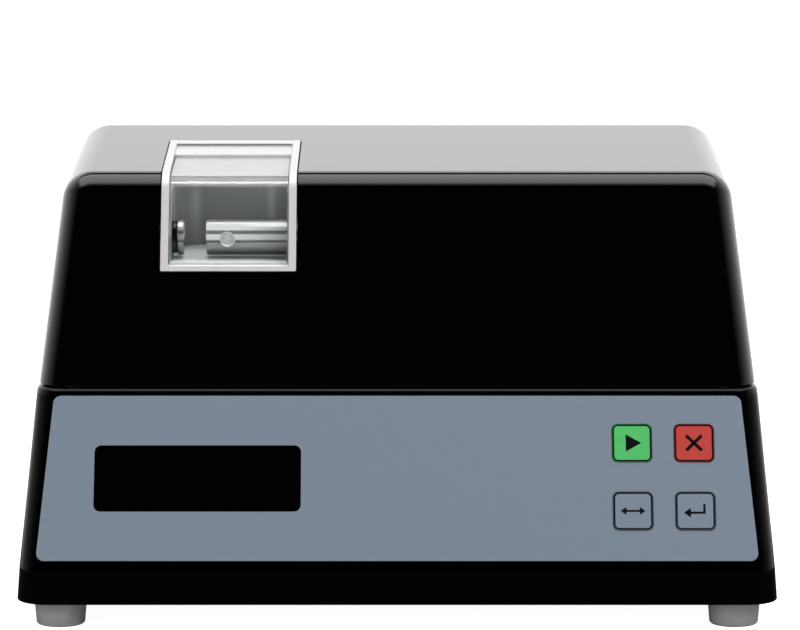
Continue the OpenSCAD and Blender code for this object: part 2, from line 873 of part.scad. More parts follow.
module rear_bar() {
    color(steel)
        along_x(inner_left, inner_right)
            intersection() {
                top_profile(-frame_proud, floor_z, chamber_back, edge_r + frame_proud);
                translate([strip_back_y, floor_z]) square([rear_bar_t, far]);
            }
}

// Bright sheet bent round three sides of the chamber
module chamber_liner() {
    top_gap = lid_under + 0.6;
    module sheet(s, y0) {
        r = liner_r + liner_t - s;
        x0 = inner_left + s;
        x1 = inner_right - s;
        y1 = liner_back_y - s;
        union() {
            translate([x0, y0]) square([x1 - x0, y1 - r - y0]);
            translate([x0 + r, y0]) square([x1 - x0 - 2 * r, y1 - y0]);
            for (x = [x0 + r, x1 - r])
                translate([x, y1 - r]) circle(r = r, $fn = 96);
        }
    }
    color([0.72, 0.72, 0.74])
        difference() {
            intersection() {
                translate([0, 0, floor_z])
                    linear_extrude(height = hood_rise)
                        difference() {
                            sheet(0, -body_d / 2);
                            sheet(liner_t, -body_d / 2 - over);
                        }
                along_x(chamber_left, chamber_right)
                    top_profile(top_gap, floor_z, liner_back_y + over, lid_fold_r - lid_t + over);
                // Cleared behind the hinge
                translate([-far / 2, -far / 2, 0]) cube([far, far, axis_z - knuckle_r - knuckle_gap]);
            }
            bar_x(inner_left - over, inner_left + liner_t + over, jaw_centre, stem_hole_d);
            bar_x(inner_right - liner_t - over, inner_right + over, jaw_centre, jaw_d + 2 * pass_gap);
        }
}

module hinge_strip() {
    top_f = hood_top(strip_front_y, strip_sunk);
    top_b = hood_top(strip_back_y, strip_sunk);
    // Angle section: the strip and its downturned back edge, screwed to the rear bar
    color(steel)
        along_x(inner_left, inner_right)
            polygon([
                [strip_front_y, top_f],
                [strip_back_y, top_b],
                [strip_back_y, top_b - strip_flange],
                [strip_back_y - strip_t, top_b - strip_flange],
                [strip_back_y - strip_t, hood_top(strip_back_y - strip_t, strip_sunk + strip_t)],
                [strip_front_y, top_f - strip_t]
            ]);
}

module chamber_posts() {
    color(alloy)
        for (x = chamber_post_xs)
            for (y = chamber_post_ys)
                translate([x, y, deck_top_z]) cylinder(d = chamber_post_d, h = chamber_z - deck_top_z);
}

module hinge_pin() {
    color(steel) bar_x(chamber_left, chamber_right, [axis_y, axis_z], hinge_pin_d);
}

module lid() {
    y_end = axis_y + knuckle_r;
    color([0.85, 0.88, 0.9, 0.35])
        along_x(inner_left + lid_gap, inner_right - lid_gap)
            intersection() {
                difference() {
                    top_profile(lid_sunk, lid_bottom_z, y_end, lid_fold_r);
                    top_profile(lid_under, lid_bottom_z - floor_t, y_end + strip_w, lid_fold_r - lid_t);
                }
                translate([-far, lid_bottom_z]) square([far + y_end, far]);
            }
}

module lid_hinge_rail() {
    y0 = axis_y + knuckle_r - rail_w;
    color(alloy)
        along_x(inner_left + lid_gap, inner_right - lid_gap)
            difference() {
                union() {
                    polygon([
                        [y0, hood_top(y0, lid_under)],
                        [y0, hood_top(y0, lid_under + rail_t)],
                        [axis_y - knuckle_r, hood_top(axis_y - knuckle_r, lid_under + rail_t)],
                        [axis_y - knuckle_r, axis_z],
                        [axis_y + knuckle_r, axis_z],
                        [axis_y + knuckle_r, hood_top(axis_y + knuckle_r, lid_under)]
                    ]);
                    translate([axis_y, axis_z]) circle(r = knuckle_r);
                }
                translate([axis_y, axis_z]) circle(r = hinge_pin_d / 2 + hinge_clear);
            }
}

// Load train, fixed side
module fixed_platen() {
    chamfer = 0.6;
    color(steel)
        translate([platen_x, load_y, load_z])
            rotate([0, 90, 0])
                rotate_extrude()
                    polygon([
                        [0, 0],
                        [platen_d / 2 - chamfer, 0],
                        [platen_d / 2, chamfer],
                        [platen_d / 2, platen_t - chamfer],
                        [platen_d / 2 - chamfer, platen_t],
                        [0, platen_t]
                    ]);
}

module platen_stem() {
    color(steel)
        union() {
            bar_x(cell_right, platen_x, jaw_centre, stem_d);
            bar_x(cell_right, cell_right + 2, jaw_centre, stem_d + 3);
        }
}

// S-shaped force cell
module load_cell() {
    slot = 2;
    bridge = 5;
    color(alloy)
        difference() {
            translate([cell_left, load_y - cell_w / 2, load_z - cell_h / 2])
                cube([cell_l, cell_w, cell_h]);
            for (s = [-1, 1])
                translate([
                    cell_left + cell_l / 2 + s * (cell_l / 2 - bridge) - slot / 2,
                    load_y - cell_w,
                    load_z - cell_h / 2 + (s > 0 ? -1 : bridge)
                ])
                    cube([slot, 2 * cell_w, cell_h - bridge + 1]);
        }
}

// Outline of the plates that stand on the deck, with the front edge along the hood's face
module plate_outline(z0, z1, y_back) {
    margin = wall + 2.5;
    knee = 16;
    head = 24;
    polygon([
        [max(plate_foot_y[0], hood_front(z0, margin)), z0],
        [max(plate_foot_y[0], hood_front(z0 + knee, margin)), z0 + knee],
        [hood_front(z1, margin + 1), z1],
        [hood_front(z1, margin + 1) + head, z1],
        [y_back, screw_z + screw_d / 2],
        [y_back, z0]
    ]);
}

module left_end_plate() {
    color(alloy)
        difference() {
            along_x(left_plate_x, left_plate_x + left_plate_t)
                plate_outline(deck_top_z, load_z + cell_h / 2, plate_foot_y[1]);
            for (c = rod_centres)
                bar_x(left_plate_x - over, left_plate_x + left_plate_t + over, c, rod_d);
            bar_x(left_plate_x - over, left_plate_x + left_plate_t + over, jaw_centre, m4_d + m4_clear);
        }
}

module right_end_plate() {
    color(alloy)
        difference() {
            along_x(right_plate_x, right_plate_x + right_plate_t)
                plate_outline(deck_top_z, load_z + cell_h / 2, plate_foot_y[1]);
            for (c = rod_centres)
                bar_x(right_plate_x - over, right_plate_x + right_plate_t + over, c, rod_d);
            bar_x(right_plate_x - over, right_plate_x + right_plate_t + over, screw_centre, screw_d + 4);
            bar_x(right_plate_x - over, right_plate_x + bearing_w, screw_centre, bearing_d);
            for (c = motor_holes)
                bar_x(right_plate_x - over, right_plate_x + right_plate_t + over, c, m3_d + m3_clear);
        }
}

// Screws that hold the force cell and the motor
module plate_screws() {
    color(steel)
        union() {
            translate([left_plate_x, load_y, load_z])
                rotate([0, -90, 0])
                    union() {
                        cylinder(d = m4_head_d, h = m4_head_t);
                        translate([0, 0, -left_plate_t]) cylinder(d = m4_d, h = left_plate_t);
                    }
            for (c = motor_holes) {
                bar_x(right_plate_x - m3_head_t, right_plate_x, c, m3_head_d);
                bar_x(right_plate_x - m3_head_t / 2, motor_x + motor_tap, c, m3_d);
            }
        }
}

module guide_rods() {
    color(steel)
        for (c = rod_centres)
            bar_x(left_plate_x, right_plate_x + right_plate_t, c, rod_d);
}

module screw_bearing() {
    race = 2.4;
    end_x = right_plate_x + bearing_w;
    color(steel)
        difference() {
            bar_x(right_plate_x, end_x, screw_centre, bearing_d);
            bar_x(right_plate_x - over, end_x + over, screw_centre, screw_d + 2 * fit_clear);
            // Grooves that show the two races
            for (x = [right_plate_x - 1, end_x - 0.5])
                difference() {
                    bar_x(x, x + 1.5, screw_centre, bearing_d - 2 * race);
                    bar_x(x - over, x + 3, screw_centre, screw_d + 2 * race);
                }
        }
}

// Load train, moving side
module jaw_sleeve() {
    chamfer = 0.8;
    bore_d = shaft_d;
    color(steel)
        difference() {
            translate([jaw_x, load_y, load_z])
                rotate([0, 90, 0])
                    rotate_extrude()
                        polygon([
                            [0, 0],
                            [jaw_d / 2 - chamfer, 0],
                            [jaw_d / 2, chamfer],
                            [jaw_d / 2, sleeve_l - chamfer],
                            [jaw_d / 2 - chamfer, sleeve_l],
                            [0, sleeve_l]
                        ]);
            bar_x(jaw_x + sleeve_tip, jaw_x + sleeve_l + over, jaw_centre, bore_d);
            translate([jaw_x + grub_x, load_y, load_z])
                rotate([90, 0, 0]) cylinder(d = grub_d, h = jaw_d);
        }
}

module jaw_grub_screw() {
    socket = 3;
    sunk = 1;
    length = jaw_d / 2 - shaft_d / 2 - sunk;
    color([0.35, 0.35, 0.37])
        translate([jaw_x + grub_x, load_y - shaft_d / 2, load_z])
            rotate([90, 0, 0])
                difference() {
                    cylinder(d = grub_d, h = length);
                    translate([0, 0, length - 1.4]) cylinder(d = socket, h = 2, $fn = 6);
                }
}

module jaw_shaft() {
    color(steel)
        bar_x(jaw_x + sleeve_tip, crosshead_x + crosshead_t, jaw_centre, shaft_d);
}

module crosshead() {
    x1 = crosshead_x + crosshead_t;
    color(alloy)
        difference() {
            along_x(crosshead_x, x1)
                plate_outline(deck_top_z + 11, load_z + shaft_d / 2 + 5, plate_foot_y[1] - 1);
            bar_x(crosshead_x - over, x1 + over, jaw_centre, shaft_d);
            bar_x(crosshead_x - over, x1 + over, screw_centre, nut_d);
            for (c = rod_centres)
                bar_x(crosshead_x - over, x1 + over, c, bush_d);
        }
}

module guide_bushes() {
    x0 = crosshead_x + (crosshead_t - bush_l) / 2;
    color([0.72, 0.55, 0.3])
        for (c = rod_centres)
            difference() {
                bar_x(x0, x0 + bush_l, c, bush_d);
                bar_x(x0 - over, x0 + bush_l + over, c, rod_d + 2 * fit_clear);
            }
}

module drive_nut() {
    x0 = crosshead_x;
    x1 = crosshead_x + crosshead_t;
    color([0.75, 0.6, 0.3])
        difference() {
            union() {
                bar_x(x0, x1, screw_centre, nut_d);
                bar_x(x1, x1 + nut_flange_t, screw_centre, nut_flange_d);
            }
            bar_x(x0 - over, x1 + nut_flange_t + over, screw_centre, screw_d + 2 * fit_clear);
        }
}

module lead_screw() {
    color(steel) bar_x(screw_left, coupling_x + coupling_l / 2 - 1, screw_centre, screw_d);
}

// Clamp coupling with a helical cut shown as slots
module shaft_coupling() {
    mid = coupling_x + coupling_l / 2;
    color(alloy)
        difference() {
            bar_x(coupling_x, coupling_x + coupling_l, screw_centre, coupling_d);
            bar_x(coupling_x - over, mid, screw_centre, screw_d);
            bar_x(mid - over, coupling_x + coupling_l + over, screw_centre, motor_shaft_d);
            for (i = [-1:1])
                translate([mid + i * 3, screw_y, screw_z])
                    rotate([i * 120, 0, 0])
                        translate([-0.5, -coupling_d / 2 + 5, -coupling_d])
                            cube([1, coupling_d, 2 * coupling_d]);
        }
}

module motor_shaft() {
    color(steel)
        bar_x(coupling_x + coupling_l / 2 + 1, motor_x + motor_tap, screw_centre, motor_shaft_d);
}

module motor_body() {
    x0 = motor_x;
    cap = 9;
    module section(w, r) { translate(screw_centre) round_rect(w, w, r); }
    color([0.12, 0.12, 0.13])
        difference() {
            union() {
                along_x(x0, x0 + cap) section(motor_w, 4);
                along_x(x0 + cap, x0 + motor_l - cap) section(motor_w - 1.4, 7);
                along_x(x0 + motor_l - cap, x0 + motor_l) section(motor_w, 4);
            }
            bar_x(x0 - over, x0 + motor_tap + over, screw_centre, motor_shaft_d + 2 * fit_clear);
            for (c = motor_holes)
                bar_x(x0 - over, x0 + motor_tap, c, m3_d);
        }
}

module motor_plate() {
    y_half = motor_w / 2 + 2;
    end_x = motor_plate_x + motor_plate_t;
    color(alloy)
        difference() {
            along_x(motor_plate_x, end_x)
                translate([screw_y - y_half, deck_top_z])
                    square([2 * y_half, screw_z + motor_w / 2 - deck_top_z]);
            bar_x(motor_plate_x - over, end_x + over, screw_centre, motor_shaft_d + 4);
            for (c = motor_holes)
                bar_x(motor_plate_x - over, end_x + over, c, m3_d + m3_clear);
        }
}

module motor_standoffs() {
    color(steel)
        for (c = motor_holes)
            difference() {
                bar_x(right_plate_x + right_plate_t, motor_plate_x, c, standoff_d);
                bar_x(right_plate_x, motor_plate_x + over, c, m3_d + m3_clear);
            }
}

// Electronics on the bottom plate
board_stand = 8;
board_z = bottom_z + bottom_t + board_stand;
board_x = 70 - body_w / 2;
board_w = 110;
board_d = 80;
board_y = 22;
supply_x = body_w / 2 - 73;

module main_board() {
    chip_w = 16;
    plug_size = [18, 8, 9];
    color(board_green)
        union() {
            difference() {
                translate([board_x - board_w / 2, board_y - board_d / 2, board_z])
                    cube([board_w, board_d, pcb_t]);
                board_spacer_places() translate([0, 0, board_z - over]) cylinder(d = m3_d, h = 4);
            }
            // Connectors and the processor
            translate([board_x - 30, board_y - 8, board_z + pcb_t]) cube([chip_w, chip_w, 2]);
            for (i = [0:3])
                translate([board_x - 46 + i * 26, board_y + 28, board_z + pcb_t]) cube(plug_size);
            for (i = [0:2])
                translate([board_x + 18 + i * 12, board_y - 16, board_z + pcb_t])
                    cylinder(d = 8, h = 12);
        }
}

module board_spacer_places() {
    for (i = [-1, 1])
        for (j = [-1, 1])
            translate([board_x + i * (board_w / 2 - 5), board_y + j * (board_d / 2 - 5), 0]) children();
}

module board_spacers() {
    color(steel)
        board_spacer_places()
            translate([0, 0, bottom_z + bottom_t]) cylinder(d = 6, h = board_z - bottom_z - bottom_t);
}

module power_supply() {
    w = 62;
    d = 100;
    h = 34;
    t = 1.5;
    color([0.7, 0.71, 0.72])
        translate([supply_x - w / 2, board_y - d / 2, bottom_z + bottom_t])
            difference() {
                cube([w, d, h]);
                for (i = [0:8])
                    translate([8, 12 + i * 9, h - t]) cube([w - 16, 4, t + over]);
            }
}

// Rear panel and what it carries
module rear_screw_places() {
    for (i = [-1, 1])
        on_rear(i * (rear_w / 2 - 3.5), 0) children();
}

module rear_panel() {
    color([0.1, 0.1, 0.11])
        difference() {
            on_rear(out = -rear_t) linear_extrude(height = rear_t) round_rect(rear_w, rear_h, 3);
            on_rear(-inlet_x, 0, -rear_t - 1)
                linear_extrude(height = rear_t + 2 * over)
                    round_rect(inlet_w + 2 * inlet_wall, inlet_h + 2 * inlet_wall, 3);
            on_rear(-rocker_x, 0, -rear_t - 1)
                linear_extrude(height = rear_t + 2 * over) round_rect(rocker_w + 2.4, rocker_h + 2.4, 1);
            on_rear(port_x, 0, -rear_t - 1)
                linear_extrude(height = rear_t + 2 * over) round_rect(port_w + 3.6, port_h + 3.6, 1);
            rear_screw_places() translate([0, 0, -rear_t - over])
                cylinder(d = m3_d + m3_clear, h = rear_t + 2 * over);
        }
}

module rear_screws() {
    color(steel)
        rear_screw_places()
            union() {
                translate([0, 0, m3_head_t]) mirror([0, 0, 1]) screw_head(m3_head_d, m3_head_t);
                translate([0, 0, -6]) cylinder(d = m3_d, h = 6);
            }
}

// Socket for a three-pole mains connector, with its lower corners cut
module inlet_outline(w, h, cut) {
    polygon([
        [-w / 2, h / 2], [w / 2, h / 2],
        [w / 2, -h / 2 + cut], [w / 2 - cut, -h / 2],
        [-w / 2 + cut, -h / 2], [-w / 2, -h / 2 + cut]
    ]);
}

module power_inlet() {
    flange_t = 1.6;
    color([0.06, 0.06, 0.065])
        on_rear(-inlet_x, 0)
            difference() {
                union() {
                    linear_extrude(height = flange_t) round_rect(inlet_w + 8, inlet_h + 8, 3);
                    translate([0, 0, -inlet_depth - 3])
                        linear_extrude(height = inlet_depth + 3)
                            round_rect(inlet_w + 2 * inlet_wall, inlet_h + 2 * inlet_wall, 3);
                }
                translate([0, 0, -inlet_depth])
                    linear_extrude(height = inlet_depth + 5) inlet_outline(inlet_w, inlet_h, 5);
                for (p = pin_spots)
                    translate([p[0] - pin_w / 2, p[1] - pin_h / 2, -inlet_depth - 4])
                        cube([pin_w, pin_h, 5]);
            }
}

pin_w = 2;
pin_h = 4;
pin_spots = [[-7, -1.5], [0, 2.5], [7, -1.5]];

module inlet_pins() {
    color(steel)
        on_rear(-inlet_x, 0)
            for (p = pin_spots)
                translate([p[0] - pin_w / 2, p[1] - pin_h / 2, -inlet_depth - 8])
                    cube([pin_w, pin_h, inlet_depth + 5]);
}

// Frame of the rocker, with two ears that hold its pivot
rocker_depth = 12;
pivot_d = 2;
pivot_out = -4;

module rocker_frame() {
    t = 1.2;
    color([0.06, 0.06, 0.065])
        on_rear(-rocker_x, 0)
            difference() {
                union() {
                    linear_extrude(height = 1.4) round_rect(rocker_w + 7, rocker_h + 7, 1.5);
                    translate([0, 0, -rocker_depth])
                        linear_extrude(height = rocker_depth)
                            round_rect(rocker_w + 2 * t, rocker_h + 2 * t, 1);
                }
                translate([0, 0, -rocker_depth + t])
                    linear_extrude(height = rocker_depth + 3) round_rect(rocker_w, rocker_h, 0.5);
                translate([-rocker_w, 0, pivot_out])
                    rotate([0, 90, 0]) cylinder(d = pivot_d, h = 2 * rocker_w);
            }
}

// Rocker with its two faces sloping to the middle, on stub pivots
module power_rocker() {
    half_h = rocker_h / 2 - 0.8;
    half_w = rocker_w / 2 - 0.4;
    color([0.08, 0.08, 0.085])
        on_rear(-rocker_x, 0, pivot_out)
            rotate([rocker_tip, 0, 0])
                union() {
                    translate([-half_w, 0, 0])
                        rotate([90, 0, 90])
                            linear_extrude(height = 2 * half_w)
                                polygon([
                                    [-half_h, -1], [half_h, -1],
                                    [half_h - 0.5, 6.6], [0, 4.6], [-half_h + 0.5, 6.6]
                                ]);
                    translate([-rocker_w / 2 - 1, 0, 0])
                        rotate([0, 90, 0]) cylinder(d = pivot_d - 0.1, h = rocker_w + 2);
                }
}

module data_port() {
    flange = 1.8;
    depth = 12;
    color([0.7, 0.7, 0.72])
        on_rear(port_x, 0)
            union() {
                difference() {
                    translate([0, 0, -depth])
                        linear_extrude(height = depth + 0.6)
                            round_rect(port_w + 2 * flange, port_h + 2 * flange, 1);
                    translate([0, 0, -depth + 1])
                        linear_extrude(height = depth + 2 * over) round_rect(port_w, port_h, 0.6);
                }
                translate([-2.8, -1.6, -depth + 1]) cube([5.6, 3.2, 9]);
            }
}

base_shell();
hood();
bottom_plate();
feet();
foot_screws();
deck_plate();
deck_screws();
hood_screws();
panel_overlay();
display_window();
display_module();
keypad_board();
key_switches();
board_posts();
key_start();
key_cancel();
key_size();
key_enter();
chamber_floor();
left_cheek();
right_cheek();
rear_bar();
chamber_liner();
hinge_strip();
chamber_posts();
hinge_pin();
lid();
lid_hinge_rail();
fixed_platen();
platen_stem();
load_cell();
left_end_plate();
right_end_plate();
plate_screws();
guide_rods();
screw_bearing();
jaw_sleeve();
jaw_grub_screw();
jaw_shaft();
crosshead();
guide_bushes();
drive_nut();
lead_screw();
shaft_coupling();
motor_shaft();
motor_body();
motor_plate();
motor_standoffs();
main_board();
power_supply();
board_spacers();
rear_panel();
rear_screws();
power_inlet();
inlet_pins();
rocker_frame();
power_rocker();
data_port();
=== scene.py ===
"""Looks of the tablet hardness tester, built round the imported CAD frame.

Lengths are in millimetres until make() scales them to metres.
"""

import math

import bpy
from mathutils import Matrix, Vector
from mathutils.geometry import delaunay_2d_cdt


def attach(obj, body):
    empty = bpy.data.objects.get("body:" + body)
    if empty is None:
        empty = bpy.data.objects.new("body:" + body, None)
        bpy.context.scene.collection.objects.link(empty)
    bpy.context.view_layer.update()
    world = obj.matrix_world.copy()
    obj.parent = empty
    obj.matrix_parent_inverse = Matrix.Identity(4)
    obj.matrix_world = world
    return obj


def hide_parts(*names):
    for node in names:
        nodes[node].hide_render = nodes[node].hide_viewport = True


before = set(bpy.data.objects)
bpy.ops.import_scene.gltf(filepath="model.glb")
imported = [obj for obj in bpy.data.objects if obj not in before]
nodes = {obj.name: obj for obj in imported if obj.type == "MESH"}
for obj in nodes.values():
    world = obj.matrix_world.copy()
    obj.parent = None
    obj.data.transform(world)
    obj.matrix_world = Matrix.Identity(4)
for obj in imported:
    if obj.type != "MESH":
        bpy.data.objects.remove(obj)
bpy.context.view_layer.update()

MM = 0.001
RAD = math.radians


def tan(d):
    return math.tan(RAD(d))


def cos(d):
    return math.cos(RAD(d))


def sin(d):
    return math.sin(RAD(d))


# ---------------------------------------------------------------- housing planes, as in the CAD
BOTTOM, BEND, BASE_TOP, HOOD_Z, EDGE_Z = 11.5, 26.2, 99.6, 100.4, 188.6
HALF_W, HALF_D = 165.0, 119.0
FACE, SLOPE, BASE_DRAFT, HOOD_DRAFT, BACK = 28.0, 4.5, 4.37, 5.9, 6.02
EDGE_R, SHOULDER_R, WALL, INSET = 14.0, 2.5, 3.0, 0.8


def base_front(z, s=0.0):
    return -HALF_D + max(0, z - BEND) * tan(FACE) + (s / cos(FACE) if z > BEND else s)


def base_side(z, s=0.0):
    return HALF_W - (z - BOTTOM) * tan(BASE_DRAFT) - s / cos(BASE_DRAFT)


def base_back(z, s=0.0):
    return HALF_D - (z - BOTTOM) * tan(BACK) - s / cos(BACK)


def hood_front(z, s=0.0):
    return -HALF_D + (z - BEND) * tan(FACE) + (INSET + s) / cos(FACE)


def hood_side(z, s=0.0):
    return base_side(BASE_TOP) - INSET - (z - HOOD_Z) * tan(HOOD_DRAFT) - s / cos(HOOD_DRAFT)


def hood_back(z, s=0.0):
    return base_back(z, INSET + s)


EDGE_Y = hood_front(EDGE_Z)


def hood_top(y, s=0.0):
    return EDGE_Z + (y - EDGE_Y) * tan(SLOPE) - s / cos(SLOPE)


def front_edge(s):
    a, b = tan(FACE), tan(SLOPE)
    y0, z0 = hood_front(EDGE_Z, s), hood_top(EDGE_Y, s)
    y = (y0 + a * (z0 - EDGE_Z - EDGE_Y * b)) / (1 - a * b)
    return y, z0 + (y - EDGE_Y) * b


def back_edge(s):
    a, b = tan(BACK), tan(SLOPE)
    y0, z0 = hood_back(0, s), hood_top(0, s)
    y = (y0 - a * z0) / (1 + a * b)
    return y, z0 + y * b


# ---------------------------------------------------------------- mesh tools
class Shape:
    """Vertices, faces, a material number per face and, where given, a normal for each corner."""

    def __init__(self):
        self.v, self.f, self.n, self.m = [], [], [], []

    def add(self, p):
        self.v.append(Vector(p))
        return len(self.v) - 1

    def face(self, ids, normals=None, mat=0):
        clean, keep = [], []
        for k, i in enumerate(ids):
            if i not in clean:
                clean.append(i)
                keep.append(k)
        if len(clean) < 3:
            return
        self.f.append(clean)
        self.n.append(None if normals is None else [normals[k] for k in keep])
        self.m.append(mat)


def make(name, shape, mats, body, slot=None, smooth_angle=None, bevel=None):
    mesh = bpy.data.meshes.new(name)
    mesh.from_pydata([p * MM for p in shape.v], [], shape.f)
    mesh.polygons.foreach_set("material_index", shape.m)
    for m in mats:
        mesh.materials.append(m)
    mesh.polygons.foreach_set("use_smooth", [True] * len(mesh.polygons))
    if any(n is not None for n in shape.n):
        loops = []
        for poly, n in zip(mesh.polygons, shape.n):
            flat = poly.normal.copy()
            loops += [flat] * poly.loop_total if n is None else n
        mesh.normals_split_custom_set(loops)
    elif smooth_angle is not None:
        mesh.set_sharp_from_angle(angle=RAD(smooth_angle))
    mesh.update()
    obj = bpy.data.objects.new(name, mesh)
    bpy.context.scene.collection.objects.link(obj)
    if bevel:
        mod = obj.modifiers.new("edges", "BEVEL")
        mod.width = bevel * MM
        mod.segments = 3
        mod.limit_method = "ANGLE"
        mod.angle_limit = RAD(35)
        mod.harden_normals = True
    if body:
        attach(obj, body)
    return obj


def slerp(a, b, t):
    a, b = Vector(a).normalized(), Vector(b).normalized()
    w = a.angle(b)
    if w < 1e-6:
        return a
    return ((a * math.sin((1 - t) * w) + b * math.sin(t * w)) / math.sin(w)).normalized()


def inside(p, loop):
    hit, j = False, len(loop) - 1
    for i in range(len(loop)):
        (xi, yi), (xj, yj) = loop[i], loop[j]
        if (yi > p[1]) != (yj > p[1]) and p[0] < (xj - xi) * (p[1] - yi) / (yj - yi) + xi:
            hit = not hit
        j = i
    return hit


def fill(shape, outer, holes, to2d, normal, mat=0):
    """Flat face between the loop outer and the loops holes, all of vertex numbers."""
    ids = [i for loop in [outer, *holes] for i in loop]
    flat = [Vector(to2d(shape.v[i])) for i in ids]
    edges, k = [], 0
    for loop in [outer, *holes]:
        n = len(loop)
        edges += [(k + i, k + (i + 1) % n) for i in range(n)]
        k += n
    pts, _, tris, orig, _, _ = delaunay_2d_cdt(flat, edges, [], 1, 1e-7)
    hole_loops = [[to2d(shape.v[i]) for i in h] for h in holes]
    outer_loop = [to2d(shape.v[i]) for i in outer]
    for t in tris:
        c = sum((pts[i] for i in t), Vector((0, 0))) / len(t)
        if not inside(c, outer_loop) or any(inside(c, h) for h in hole_loops):
            continue
        real = [ids[orig[i][0]] for i in t]
        a, b, d = (shape.v[i] for i in real[:3])
        if (b - a).cross(d - a).dot(normal) < 0:
            real.reverse()
        shape.face(real, [normal] * len(real), mat)


def round_rect(w, h, r, steps=10, cx=0.0, cy=0.0):
    pts = []
    for qx, qy, a0 in ((1, 1, 0), (-1, 1, 90), (-1, -1, 180), (1, -1, 270)):
        for k in range(steps + 1):
            a = a0 + 90 * k / steps
            pts.append((cx + qx * (w / 2 - r) + r * cos(a), cy + qy * (h / 2 - r) + r * sin(a)))
    return pts


def offset(loop, d):
    """A closed 2D loop, counter-clockwise, moved inwards by d."""
    out, n = [], len(loop)
    for i in range(n):
        p, a, b = Vector(loop[i]), Vector(loop[i - 1]), Vector(loop[(i + 1) % n])
        u, v = (p - a), (b - p)
        if u.length < 1e-9 or v.length < 1e-9:
            out.append(tuple(p))
            continue
        u.normalize()
        v.normalize()
        nu, nv = Vector((-u.y, u.x)), Vector((-v.y, v.x))
        m = nu + nv
        if m.length < 1e-6:
            m = nu
        m.normalize()
        out.append(tuple(p + m * (d / max(0.35, m.dot(nu)))))
    return out


def area2(loop):
    return sum(loop[i - 1][0] * loop[i][1] - loop[i][0] * loop[i - 1][1] for i in range(len(loop)))


def prism(shape, loop, h0, h1, place, chamfer=0.0, mat=0, holes=(), caps=True):
    """Plate between two heights with its rims chamfered. place(x, y, h) gives the point in space."""
    if area2(loop) < 0:
        loop = loop[::-1]
    walls = [(loop, 1)] + [(h if area2(h) > 0 else h[::-1], -1) for h in holes]
    tops, bottoms = [], []
    for pts, sign in walls:
        rows = [(pts, h0), (pts, h1)]
        if chamfer:
            near = offset(pts, sign * chamfer)
            rows = [(near, h0), (pts, h0 + chamfer), (pts, h1 - chamfer), (near, h1)]
        ids = [[shape.add(place(x, y, h)) for x, y in row] for row, h in rows]
        n = len(pts)
        for a, b in zip(ids, ids[1:]):
            for i in range(n):
                q = [a[i], a[(i + 1) % n], b[(i + 1) % n], b[i]]
                shape.face(q if sign > 0 else q[::-1], None, mat)
        bottoms.append(ids[0])
        tops.append(ids[-1])
    if caps:
        o, ex, ey = Vector(place(0, 0, 0)), Vector(place(1, 0, 0)), Vector(place(0, 1, 0))
        ex, ey = ex - o, ey - o
        up = Vector(place(0, 0, 1)) - o

        def flat(p):
            return (p - o).dot(ex), (p - o).dot(ey)

        for loops, d in ((tops, 1), (bottoms, -1)):
            start = len(shape.f)
            fill(shape, loops[0], loops[1:], flat, up.normalized() * d, mat)
            for k in range(start, len(shape.f)):
                shape.n[k] = None


def ring(cx, cy, r, steps=48):
    turn = 2 * math.pi / steps
    return [(cx + r * math.cos(turn * k), cy + r * math.sin(turn * k)) for k in range(steps)]


def lathe(shape, profile, place, steps=96, mat=0, closed=False):
    """Profile of (radius, along) turned about the axis. place(r cos, r sin, along) gives the point."""
    rings = []
    for r, z in profile:
        if r < 1e-6:
            rings.append([shape.add(place(0, 0, z))] * steps)
        else:
            rings.append([shape.add(place(x, y, z)) for x, y in ring(0, 0, r, steps)])
    pairs = list(zip(rings, rings[1:])) + ([(rings[-1], rings[0])] if closed else [])
    for a, b in pairs:
        for k in range(steps):
            j = (k + 1) % steps
            shape.face([a[k], a[j], b[j], b[k]], None, mat)


def along_x(x, y, h):
    return (h, x, y)


def panel(x, l, out=0.0):
    """Point on the sloping control panel: across, up the slope from the bend, outwards."""
    return Vector((x, -HALF_D + l * sin(FACE) - out * cos(FACE), BEND + l * cos(FACE) + out * sin(FACE)))


def rear(x, y, out=0.0):
    """Point on the back: across, up, outwards, from the rear panel's middle."""
    z = BOTTOM + 44.0
    return Vector((x, base_back(z) - y * sin(BACK) + out * cos(BACK), z + y * cos(BACK) + out * sin(BACK)))


# ---------------------------------------------------------------- materials
def new_material(name, colour, rough=0.5, metal=0.0, **sockets):
    m = bpy.data.materials.new(name)
    m.use_nodes = True
    t = m.node_tree
    b = t.nodes["Principled BSDF"]
    b.inputs["Base Color"].default_value = (*colour, 1)
    b.inputs["Roughness"].default_value = rough
    b.inputs["Metallic"].default_value = metal
    for k, v in sockets.items():
        b.inputs[k.replace("_", " ")].default_value = v
    m.diffuse_color = (*colour, 1)
    return m, t, b


def coords(t, scale=(1, 1, 1)):
    c = t.nodes.new("ShaderNodeTexCoord")
    m = t.nodes.new("ShaderNodeMapping")
    m.inputs["Scale"].default_value = scale
    t.links.new(c.outputs["Object"], m.inputs["Vector"])
    return m.outputs["Vector"]


def noise(t, vector, scale, detail=3.0, rough=0.5):
    n = t.nodes.new("ShaderNodeTexNoise")
    n.inputs["Scale"].default_value = scale
    n.inputs["Detail"].default_value = detail
    n.inputs["Roughness"].default_value = rough
    t.links.new(vector, n.inputs["Vector"])
    return n.outputs["Fac"]


def to_range(t, value, low, high, a=0.3, b=0.7):
    r = t.nodes.new("ShaderNodeMapRange")
    r.inputs["From Min"].default_value = a
    r.inputs["From Max"].default_value = b
    r.inputs["To Min"].default_value = low
    r.inputs["To Max"].default_value = high
    t.links.new(value, r.inputs["Value"])
    return r.outputs["Result"]


